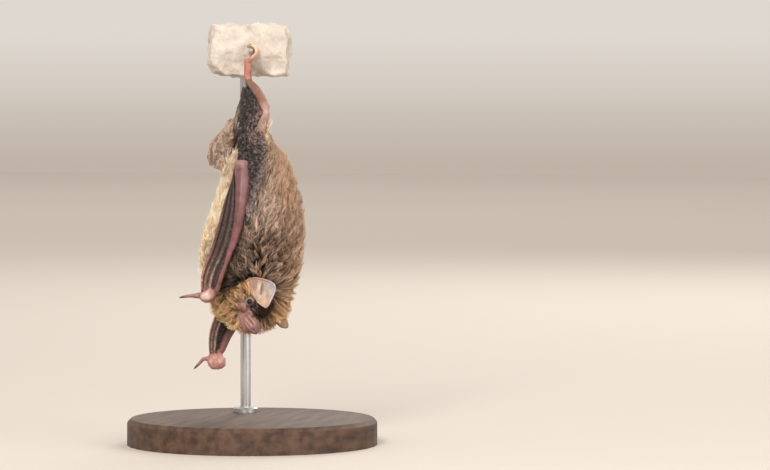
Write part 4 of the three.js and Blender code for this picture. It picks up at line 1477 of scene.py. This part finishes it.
def ear_colours(points, side):
    """Pale and bluish towards the tip, mauve in the hollow, peach by the margins, and darker on the left
    ear as painted shade.
    """
    spots = in_head(points) * (1, SIDES[side], 1 / EAR_FOLD[side])
    spots = spots - leaning(spots[:, 2], side)
    f, l, u = spots.T
    blur = wander(spots, 1.1, 91)
    base = np.tile(EAR_BASE_TONE, (len(points), 1))
    colours = mixed(base, EAR_TIP_TONE, smoothstep(4.5, 7.5, u + 0.5 * blur))
    hollow = fade(1.1, 2.4, np.hypot(f + 0.2, (u - 2.6) * 0.9) + 0.3 * blur)
    colours = mixed(colours, HOLLOW_TONE, 0.8 * hollow)
    colours = mixed(colours, SHADE_TONE, 0.6 * fade(0.2, 0.7, distance_to_path(spots, SHADE_PATH)))
    colours = mixed(colours, MIDDLE_TONE, 0.7 * fade(0.6, 2, np.hypot(f - 4.4, u - 4.8)))
    colours = mixed(colours, FRONT_TONE, smoothstep(4.6, 6.4, f + 0.6 * blur) * fade(4, 6, u))
    from_rear, from_front = distance_to_path(spots, EAR_REAR), distance_to_path(spots, EAR_FRONT)
    colours = mixed(colours, REAR_TONE, 0.8 * fade(0.3, 0.9, from_rear) * fade(6.5, 8.5, u))
    colours = mixed(colours, TRAGUS_TONE, fade(0.6, 0.85, distance_to_path(spots, TRAGUS)))
    # The left ear gets painted shade over its colours, and a dark rim along its margins.
    if side == "left":
        rim = fade(0.35, 0.7, np.minimum(from_rear, from_front))
        colours = mixed(colours * FAR_EAR_SHADE, FAR_RIM_TONE, rim)
    return EAR_TONE * colours


ear_material = grained_material("ear_skin", 620, 0.2, 2200, 0.00008, 0.5)
ear_shader = ear_material.node_tree.nodes["Principled BSDF"]
ear_shader.inputs["Subsurface Weight"].default_value = 0.15
ear_shader.inputs["Subsurface Scale"].default_value = 1 * MM
ears = []
for side in SIDES:
    mesh = ear_shape(side)
    paint(mesh, ear_colours(points_of(mesh), side))
    ear = shown("ear_flap_" + side, mesh, ear_material)
    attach(ear, "root")
    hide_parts("ear_" + side)
    ears.append(ear)
print("ears:", [len(ear.data.polygons) for ear in ears], "faces")

# %% [markdown]
# ## Eyes
# The eyes are small, round and nearly black, with a wet gleam. Each is a smooth ball set behind the
# opening of its lids, which belong to the skin of the head.

# %% Eyes
EYE_TONE = (0.008, 0.005, 0.004)
EYE_DARK = (0.004, 0.003, 0.003, 1)
EYE_BROWN = (0.022, 0.012, 0.007, 1)

eye_material = plain_material("wet_eye", EYE_TONE, 0.06)
eye_nodes, eye_links = eye_material.node_tree.nodes, eye_material.node_tree.links
eye_shader = eye_nodes["Principled BSDF"]
eye_shader.inputs["Specular IOR Level"].default_value = 0.25
iris = eye_nodes.new("ShaderNodeTexNoise")
iris.inputs["Scale"].default_value = 1800
eye_place = eye_nodes.new("ShaderNodeTexCoord")
iris_colours = eye_nodes.new("ShaderNodeValToRGB")
iris_colours.color_ramp.elements[0].color = EYE_DARK
iris_colours.color_ramp.elements[1].color = EYE_BROWN
eye_links.new(eye_place.outputs["Object"], iris.inputs["Vector"])
eye_links.new(iris.outputs["Fac"], iris_colours.inputs["Fac"])
eye_links.new(iris_colours.outputs["Color"], eye_shader.inputs["Base Color"])

for side in SIDES:
    ball = bmesh.new()
    bmesh.ops.create_icosphere(ball, subdivisions=4, radius=EYE_RADIUS * MM)
    bmesh.ops.translate(ball, verts=ball.verts, vec=from_head(EYE_SPOT * (1, SIDES[side], 1)))
    eye = shown("eyeball_" + side, as_mesh("eyeball_" + side, ball), eye_material)
    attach(eye, "root")
    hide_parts("eye_" + side)
print("eyes of radius", EYE_RADIUS, "mm")

# %% [markdown]
# ## Growing tufts
# One tuft is a slim cone with three sides. Roots are scattered over the skin by area and by how
# thickly hair grows there, and arrays bend a copy of the tuft over every root. Each point along a tuft
# is dropped to the skin below and lifted by the coat's depth, so that hair hugs the body's curves.
# Real hair sticks together in locks, so every tuft leans towards the middle of its lock and shares
# the lock's slant, lift, wave and tone. This is what makes a coat look shaggy instead of combed.

# %% One tuft
TUFT_SIDES = 3
TUFT_LEVELS = [0, 0.34, 0.7, 1]
TUFT_TAPER = [1, 0.92, 0.6, 0]


def tuft_template():
    """Points and triangles of a three-sided spike of height 1 and radius 1 at its root."""
    spike = bmesh.new()
    bmesh.ops.create_cone(
        spike, cap_ends=True, cap_tris=False, segments=TUFT_SIDES, radius1=1, radius2=0, depth=1
    )
    bmesh.ops.remove_doubles(spike, verts=spike.verts, dist=1e-5)
    bmesh.ops.translate(spike, verts=spike.verts, vec=(0, 0, 0.5))
    for level in TUFT_LEVELS[1:-1]:
        everything = list(spike.verts) + list(spike.edges) + list(spike.faces)
        bmesh.ops.bisect_plane(spike, geom=everything, plane_co=(0, 0, level), plane_no=(0, 0, 1))
    bmesh.ops.triangulate(spike, faces=spike.faces)
    bmesh.ops.recalc_face_normals(spike, faces=spike.faces)
    points = np.array([vert.co for vert in spike.verts])
    faces = np.array([[vert.index for vert in face.verts] for face in spike.faces])
    spike.free()
    return points, faces


tuft_points, tuft_faces = tuft_template()
TUFT_LEVEL = np.argmin(np.abs(tuft_points[:, 2][:, None] - np.array(TUFT_LEVELS)), axis=1)
TUFT_ANGLE = np.arctan2(tuft_points[:, 1], tuft_points[:, 0])
print("one tuft:", len(tuft_points), "points,", len(tuft_faces), "triangles")


# %% Roots on the skin
def scatter(mesh, count, density):
    """Random places on a mesh, thicker where density is higher, with their normals."""
    mesh.calc_loop_triangles()
    corners = np.empty(len(mesh.loop_triangles) * 3, dtype=np.int64)
    mesh.loop_triangles.foreach_get("vertices", corners)
    corners = corners.reshape(-1, 3)
    points, normals = points_of(mesh), normals_of(mesh)
    a, b, c = (points[corners[:, k]] for k in range(3))
    area = np.linalg.norm(np.cross(b - a, c - a), axis=1) / 2
    weight = area * density((a + b + c) / 3)
    chosen = draws.choice(len(area), count, p=weight / weight.sum())
    first, second = draws.random((2, count))
    flip = first + second > 1
    first[flip], second[flip] = 1 - first[flip], 1 - second[flip]
    share = np.stack([1 - first - second, first, second], axis=1)
    roots = np.einsum("nk,nkj->nj", share, points[corners[chosen]])
    return roots, unit(np.einsum("nk,nkj->nj", share, normals[corners[chosen]]))


# %% Locks
class Locks:
    """Middles of locks on a mesh, each with its own lie, tone, lift, stretch and phase of its wave."""

    def __init__(self, mesh, count, density, lie, slant):
        self.middles, ups = scatter(mesh, count, density)
        side = np.cross(ups, lie(self.middles, ups))
        self.lie = lie(self.middles, ups) + side * (slant(self.middles) * draws.normal(size=count))[:, None]
        self.tone = draws.uniform(0.7, 1.28, count)
        self.lift = draws.uniform(0.6, 1.35, count)
        self.stretch = draws.uniform(0.75, 1.2, count)
        self.phase = draws.uniform(0, 2 * math.pi, count)
        self.finder = KDTree(count)
        for number, middle in enumerate(self.middles):
            self.finder.insert(middle, number)
        self.finder.balance()

    def nearest(self, roots):
        """The number of the lock that each root belongs to."""
        return np.array([self.finder.find(root)[1] for root in roots])


# %% Tufts from roots
GATHER = 0.7
SKIN_HOLD = 0.15 * MM


def grow_tufts(name, roots, normals, locks, sizes, tips, dark, unwrap):
    """A coat piece: a bent spike on every root. sizes holds length, depth, width, curl and wave."""
    length, depth, width, curl, wave = sizes
    lock = locks.nearest(roots)
    lie = locks.lie[lock]
    lie = unit(lie - normals * np.sum(lie * normals, axis=1)[:, None])
    side = np.cross(normals, lie)
    pull = (locks.middles[lock] - roots) * (GATHER * draws.uniform(0.6, 1.2, len(roots)))[:, None]
    pull -= lie * np.sum(pull * lie, axis=1)[:, None]
    phase = locks.phase[lock] + draws.uniform(-0.5, 0.5, len(roots))
    length, depth = length * locks.stretch[lock], depth * locks.lift[lock]
    spines = [roots - normals * SKIN_HOLD]
    for level in TUFT_LEVELS[1:]:
        sway = curl * level * level + wave * (np.sin(phase + 5.5 * level) - np.sin(phase))
        reach = roots + lie * (length * level)[:, None] + side * sway[:, None] + pull * level
        found = [skin_tree.find_nearest(spot)[:2] for spot in reach]
        up = unit(np.array([way for _, way in found]) + normals)
        rise = depth * (1 - (1 - level) ** 2)
        spines.append(np.array([spot for spot, _ in found]) + up * rise[:, None])
    turn = draws.uniform(0, 2 * math.pi, len(roots))
    points = np.empty((len(roots), len(tuft_points), 3))
    for number, level in enumerate(TUFT_LEVEL):
        reach, angle = width * TUFT_TAPER[level], TUFT_ANGLE[number] + turn
        points[:, number] = spines[level] + side * (reach * np.cos(angle))[:, None]
        points[:, number] += normals * (reach * np.sin(angle))[:, None]
    piece = joined_tufts(name, points)
    contrast = 1 + 3 * ruff_share(roots)
    paint_tufts(piece, tips * (locks.tone[lock] ** contrast)[:, None], dark)
    unwrap_tufts(piece, unwrap(roots))
    piece.data.materials.append(coat_material)
    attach(piece, "root")
    print(name + ":", len(piece.data.polygons), "triangles")


def joined_tufts(name, points):
    """All tufts as one mesh, from the template's triangles repeated for each."""
    count, per_tuft = points.shape[:2]
    starts = np.arange(count)[:, None, None] * per_tuft
    corners = (tuft_faces[None] + starts).reshape(-1)
    mesh = bpy.data.meshes.new(name)
    mesh.vertices.add(count * per_tuft)
    mesh.vertices.foreach_set("co", points.ravel())
    mesh.loops.add(len(corners))
    mesh.loops.foreach_set("vertex_index", corners)
    mesh.polygons.add(len(corners) // 3)
    mesh.polygons.foreach_set("loop_start", np.arange(0, len(corners), 3))
    mesh.polygons.foreach_set("use_smooth", np.ones(len(corners) // 3, dtype=bool))
    mesh.update(calc_edges=True)
    piece = bpy.data.objects.new(name, mesh)
    scene.collection.objects.link(piece)
    return piece


# %% Colour and map of the tufts
TONE_AT_LEVEL = np.array([0, 0.45, 0.85, 1])
TIP_GLEAM = np.array([1, 1, 1.05, 1.3])
PATCH = 0.003


def paint_tufts(piece, tips, dark):
    """Stores each point's colour: dark at the root by the share given, its full tone by the tip."""
    roots = tips * (1 - dark)[:, None] + ROOT_SHADE * dark[:, None]
    share = TONE_AT_LEVEL[TUFT_LEVEL][None, :, None] ** (0.7 + 2.6 * dark**4)[:, None, None]
    colours = roots[:, None, :] * (1 - share) + tips[:, None, :] * share
    colours = np.clip(colours * TIP_GLEAM[TUFT_LEVEL][None, :, None], 0, 1)
    paint(piece.data, colours.reshape(-1, 3))


def unwrap_tufts(piece, root_spots):
    """Gives each tuft a small patch of the OFBake map at its root's place on the unwrapped body."""
    around = (TUFT_ANGLE / (2 * math.pi)) % 1
    patch = np.stack([around - 0.5, np.array(TUFT_LEVELS)[TUFT_LEVEL] - 0.5], axis=1) * PATCH
    spots = (root_spots[:, None, :] * (1 - 2 * PATCH) + PATCH + patch[None]).reshape(-1, 2)
    corners = np.empty(len(piece.data.loops), dtype=np.int64)
    piece.data.loops.foreach_get("vertex_index", corners)
    layer = piece.data.uv_layers.new(name="OFBake")
    layer.data.foreach_set("uv", spots[corners].ravel())


# %% Coat material
coat_material = bpy.data.materials.new("fur")
coat_material.use_nodes = True
coat_nodes = coat_material.node_tree.nodes
coat_shader = coat_nodes["Principled BSDF"]
coat_shader.inputs["Roughness"].default_value = 0.55
coat_shader.inputs["Specular IOR Level"].default_value = 0.35
shade_node = coat_nodes.new("ShaderNodeAttribute")
shade_node.attribute_name = "shade"
coat_material.node_tree.links.new(shade_node.outputs["Color"], coat_shader.inputs["Base Color"])

# %% [markdown]
# ## Fur of the body
# The trunk's coat is laid in a few pieces, each a thin layer over the whole body, so that no border
# between pieces can show. Hair is short where it meets bare skin, and stands thickest in the ruff.

# %% Body coat
COAT_LAYERS = 6
TUFTS_PER_LAYER = 11500
BODY_LOCKS = 6500
HAIR_LENGTH = 5.2 * MM
HAIR_WIDTH = 0.1 * MM
TIP_RANGE = (0.85, 1.15)


def tree_of_mesh(mesh):
    """A search tree over the surface of a mesh."""
    faces = [tuple(face.vertices) for face in mesh.polygons]
    return BVHTree.FromPolygons([tuple(point) for point in points_of(mesh)], faces)


skin_tree = tree_of_mesh(skin.data)
far_ear_tree = tree_of_mesh(ears[1].data)
furred = as_mesh("furred", added([body] + legs))


def furry(points):
    """How thickly the coat grows: nowhere inside the head or where wing skin lies, thinly by bare skin."""
    in_face = clay_distance(in_head(points)) < 0.2
    bare = smoothstep(0.4 * MM, 1.6 * MM, distance_to(bare_legs, points))
    covered = (points[:, 2] > 86 * MM) & (distance_to(flaps, points) < 3.4 * MM)
    open_flank = (points[:, 0] > 0) & (points[:, 2] < 58 * MM)
    covered |= (points[:, 2] > 96 * MM) | (distance_to(flaps, points) < 1.2 * MM) & ~open_flank
    covered |= distance_to(far_ear_tree, points) < 0.9 * MM
    covered |= distance_to_path(points, ARM_LINE) < 4.4 * MM
    off_joints = smoothstep(2.4 * MM, 4.4 * MM, nearest_of(elbows + knees, points))
    growth = np.where(in_face | covered, 0, 0.03 + 0.97 * bare)
    return growth * (0.02 + 0.98 * off_joints) * (1 + 0.5 * ruff_share(points))


def slant_of_locks(points):
    """How far locks slant to one side, most in the ruff."""
    return 0.3 + 0.35 * ruff_share(points)


def body_tuft_sizes(points):
    """Length, depth, width, curl and wave of the tufts at each root."""
    count = len(points)
    ruff = ruff_share(points)
    depth = coat_depth(points) * draws.uniform(0.55, 1.15, count)
    depth *= 1 - 0.45 * smoothstep(82, 88, points[:, 2] / MM)
    length = HAIR_LENGTH * (0.35 + 0.65 * coat_depth(points) / COAT_DEPTH)
    length *= draws.uniform(0.7, 1.15, count)
    width = HAIR_WIDTH * draws.uniform(0.6, 1.3, count) * (1 + 0.25 * ruff)
    curl = 0.7 * MM * wander(points, 2.2 * MM, 21) + 0.3 * MM * draws.normal(size=count)
    throat = fade(50, 58, points[:, 2] / MM) * smoothstep(-1, 3, points[:, 1] / MM)
    wave = (0.14 + 0.34 * ruff + 0.26 * throat) * MM * draws.uniform(0.5, 1, count)
    return length, depth, width, curl, wave


body_locks = Locks(furred, BODY_LOCKS, furry, lie_of_coat, slant_of_locks)
for layer in range(COAT_LAYERS):
    roots, ups = scatter(furred, TUFTS_PER_LAYER, furry)
    tips = markings(roots) * draws.uniform(*TIP_RANGE, len(roots))[:, None]
    sizes = body_tuft_sizes(roots)
    name = f"coat_body_{layer + 1}"
    grow_tufts(name, roots, ups, body_locks, sizes, tips, root_dark(roots), unwrapped_body)

# %% [markdown]
# ## Fur of the head
# The head wears shorter fur that points away from the nose: dark on the crown, partly dark fur and
# partly painted shade, ginger round the ears, tawny on the cheeks. The snout stays bare but for
# scattered short hairs.

# %% Head coat
HEAD_TUFTS = 11500
HEAD_LOCKS = 1500
HEAD_SLANT = 0.3
HEAD_ROOT_DARK = 0.8


def head_furry(points):
    """How thickly the coat grows on the head: hardly at all on the snout."""
    return np.clip(1 - bare_face(in_head(points)), 0.008, 1)


def head_lie(points, normals):
    """The way hair points on the head, flat on the skin: away from the nose."""
    f, l, u = in_head(points).T
    way = np.stack([-np.ones_like(f), 0.25 * np.sign(l), 0.35 * np.sign(u + 1)], axis=1) @ HEAD_AXES
    side = np.cross(normals, unit(way))
    way = way + side * (0.5 * wander(points, 2.5 * MM, 5) + 0.3 * wander(points, 1 * MM, 6))[:, None]
    return unit(way - normals * np.sum(way * normals, axis=1)[:, None])


def short_tuft_sizes(points):
    """Length, depth, width, curl and wave of the tufts at each root on the head."""
    count = len(points)
    f, l, u = in_head(points).T
    long = 1.5 + 1.5 * smoothstep(4.5, 0, f) + 0.6 * smoothstep(-1, 1.5, u)
    bare = bare_face(in_head(points))
    length = long * (1 - 0.6 * bare) * MM * draws.uniform(0.7, 1.2, count)
    depth = length * (0.28 - 0.12 * bare) * draws.uniform(0.6, 1.3, count)
    width = (0.08 - 0.035 * bare) * MM * draws.uniform(0.7, 1.3, count)
    curl = 0.3 * MM * draws.normal(size=count)
    return length, depth, width, curl, 0.08 * MM * draws.uniform(0, 1, count)


def head_slant(points):
    """How far locks of the head slant to one side."""
    return np.full(len(points), HEAD_SLANT)


head_locks = Locks(head, HEAD_LOCKS, head_furry, head_lie, head_slant)
roots, ups = scatter(head, HEAD_TUFTS, head_furry)
tips = head_markings(roots) * draws.uniform(*TIP_RANGE, len(roots))[:, None]
sizes = short_tuft_sizes(roots)
dark = np.full(len(roots), HEAD_ROOT_DARK)
grow_tufts("coat_head", roots, ups, head_locks, sizes, tips, dark, unwrapped_head)

# %% [markdown]
# ## The perch
# The bat's toes hook over a knob on a lump of old wall plaster. A finely remeshed copy of the packed
# block is roughened at three scales, as a trowel and coarse sand leave it, and gets a chalky warm
# white. The knob is left nearly smooth, so that the toes still meet it.

# %% Plaster
PERCH_VOXEL = 0.3 * MM
KNOB = np.array([0, 0.16, 119.3]) * MM
PLASTER_PIT = (0.4, 0.34, 0.28)
PLASTER_PALE = (0.66, 0.6, 0.53)

plaster_material = grained_material("rough_plaster", 260, 0.1, 1500, 0.0002, 0.9)
perch = fused("perch", [solid_copy("stand_perch", 0)], PERCH_VOXEL)
soften(perch, 4)
points = points_of(perch)
at_knob = fade(2.2 * MM, 3.4 * MM, from_spot(KNOB[1:], points[:, 1:]))
trowel = 0.55 * wander(points, 3.4 * MM, 101) + 0.3 * wander(points, 1.5 * MM, 102)
trowel += 0.16 * wander(points, 0.7 * MM, 103)
raised(perch, trowel * (1 - 0.85 * at_knob) * MM)
tone = np.clip(0.5 + 0.5 * trowel, 0, 1)
paint(perch, mixed(np.tile(PLASTER_PIT, (len(points), 1)), PLASTER_PALE, tone))
perch_piece = shown("plaster_perch", perch, plaster_material)
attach(perch_piece, "root")
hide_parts("stand_perch")
print("perch:", len(perch.polygons), "faces")

# %% [markdown]
# ## Rod and base
# A slim brushed steel rod rises from a turned wooden disc. The rod is spun anew from the measures of
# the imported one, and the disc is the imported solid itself. Steel gets fine rings of wear from noise
# stretched round the rod, and wood gets long grain from noise stretched across the disc.

# %% Steel
def stretched_noise(nodes, links, stretch, size, detail):
    """Noise over the piece's own space, stretched along one way."""
    place, turn = nodes.new("ShaderNodeTexCoord"), nodes.new("ShaderNodeMapping")
    noise = nodes.new("ShaderNodeTexNoise")
    turn.inputs["Scale"].default_value = stretch
    noise.inputs["Scale"].default_value = size
    noise.inputs["Detail"].default_value = detail
    links.new(place.outputs["Object"], turn.inputs["Vector"])
    links.new(turn.outputs["Vector"], noise.inputs["Vector"])
    return noise


def banded_material(name, dark, light, stretch, size, depth, roughness):
    """A material with fine bands of two tones, slightly raised."""
    material = plain_material(name, light, roughness)
    nodes, links = material.node_tree.nodes, material.node_tree.links
    noise = stretched_noise(nodes, links, stretch, size, 6)
    bands = nodes.new("ShaderNodeValToRGB")
    bands.color_ramp.elements[0].position = 0.35
    bands.color_ramp.elements[0].color = (*dark, 1)
    bands.color_ramp.elements[1].position = 0.65
    bands.color_ramp.elements[1].color = (*light, 1)
    bump = nodes.new("ShaderNodeBump")
    bump.inputs["Distance"].default_value = depth
    links.new(noise.outputs["Fac"], bands.inputs["Fac"])
    links.new(bands.outputs["Color"], nodes["Principled BSDF"].inputs["Base Color"])
    links.new(noise.outputs["Fac"], bump.inputs["Height"])
    links.new(bump.outputs["Normal"], nodes["Principled BSDF"].inputs["Normal"])
    return material


STEEL = (0.5, 0.5, 0.51)
STEEL_LIGHT = (0.6, 0.6, 0.61)
RINGS = (1, 1, 24)
ROD_RADIUS = 1.6 * MM
COLLAR_HEIGHT = 1.6 * MM
COLLAR_BEVEL = 0.4 * MM
FOOT_GAP = 0.04 * MM
ROD_SIDES = 48

steel_material = banded_material("brushed_steel", STEEL, STEEL_LIGHT, RINGS, 420, 0.000004, 0.34)
steel_material.node_tree.nodes["Principled BSDF"].inputs["Metallic"].default_value = 1


def steel_rod():
    """The rod and its collar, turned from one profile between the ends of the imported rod."""
    low, high = (np.array(corner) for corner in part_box("stand_rod"))
    foot_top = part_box("stand_base")[1][2]
    collar_low, collar_high = foot_top + FOOT_GAP, foot_top + COLLAR_HEIGHT
    middle, wide = (low + high) / 2, (high[0] - low[0]) / 2
    profile = [(0, low[2]), (ROD_RADIUS, low[2]), (ROD_RADIUS, collar_low), (wide, collar_low)]
    profile += [(wide, collar_high - COLLAR_BEVEL), (wide - COLLAR_BEVEL, collar_high)]
    profile += [(ROD_RADIUS, collar_high), (ROD_RADIUS, high[2]), (0, high[2])]
    turned = bmesh.new()
    spots = [turned.verts.new((middle[0] + reach, middle[1], height)) for reach, height in profile]
    edges = [turned.edges.new(ends) for ends in zip(spots, spots[1:])]
    bmesh.ops.spin(
        turned,
        geom=spots + edges,
        cent=(middle[0], middle[1], 0),
        axis=(0, 0, 1),
        angle=2 * math.pi,
        steps=ROD_SIDES,
        use_merge=True,
    )
    bmesh.ops.remove_doubles(turned, verts=turned.verts, dist=0.01 * MM)
    bmesh.ops.recalc_face_normals(turned, faces=turned.faces)
    return turned


rod = shown("steel_rod", as_mesh("steel_rod", steel_rod()), steel_material)
rod.data.set_sharp_from_angle(angle=math.radians(35))
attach(rod, "root")
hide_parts("stand_rod")
print("rod:", len(rod.data.polygons), "faces")

# %% Wood
WOOD_DARK = (0.035, 0.016, 0.008)
WOOD_LIGHT = (0.1, 0.05, 0.026)
LONG_GRAIN = (1, 9, 9)

wood_material = banded_material("dark_wood", WOOD_DARK, WOOD_LIGHT, LONG_GRAIN, 45, 0.00008, 0.6)
for slot in frame["nodes"]["stand_base"].material_slots:
    slot.material = wood_material
print("wooden base:", wood_material.name)
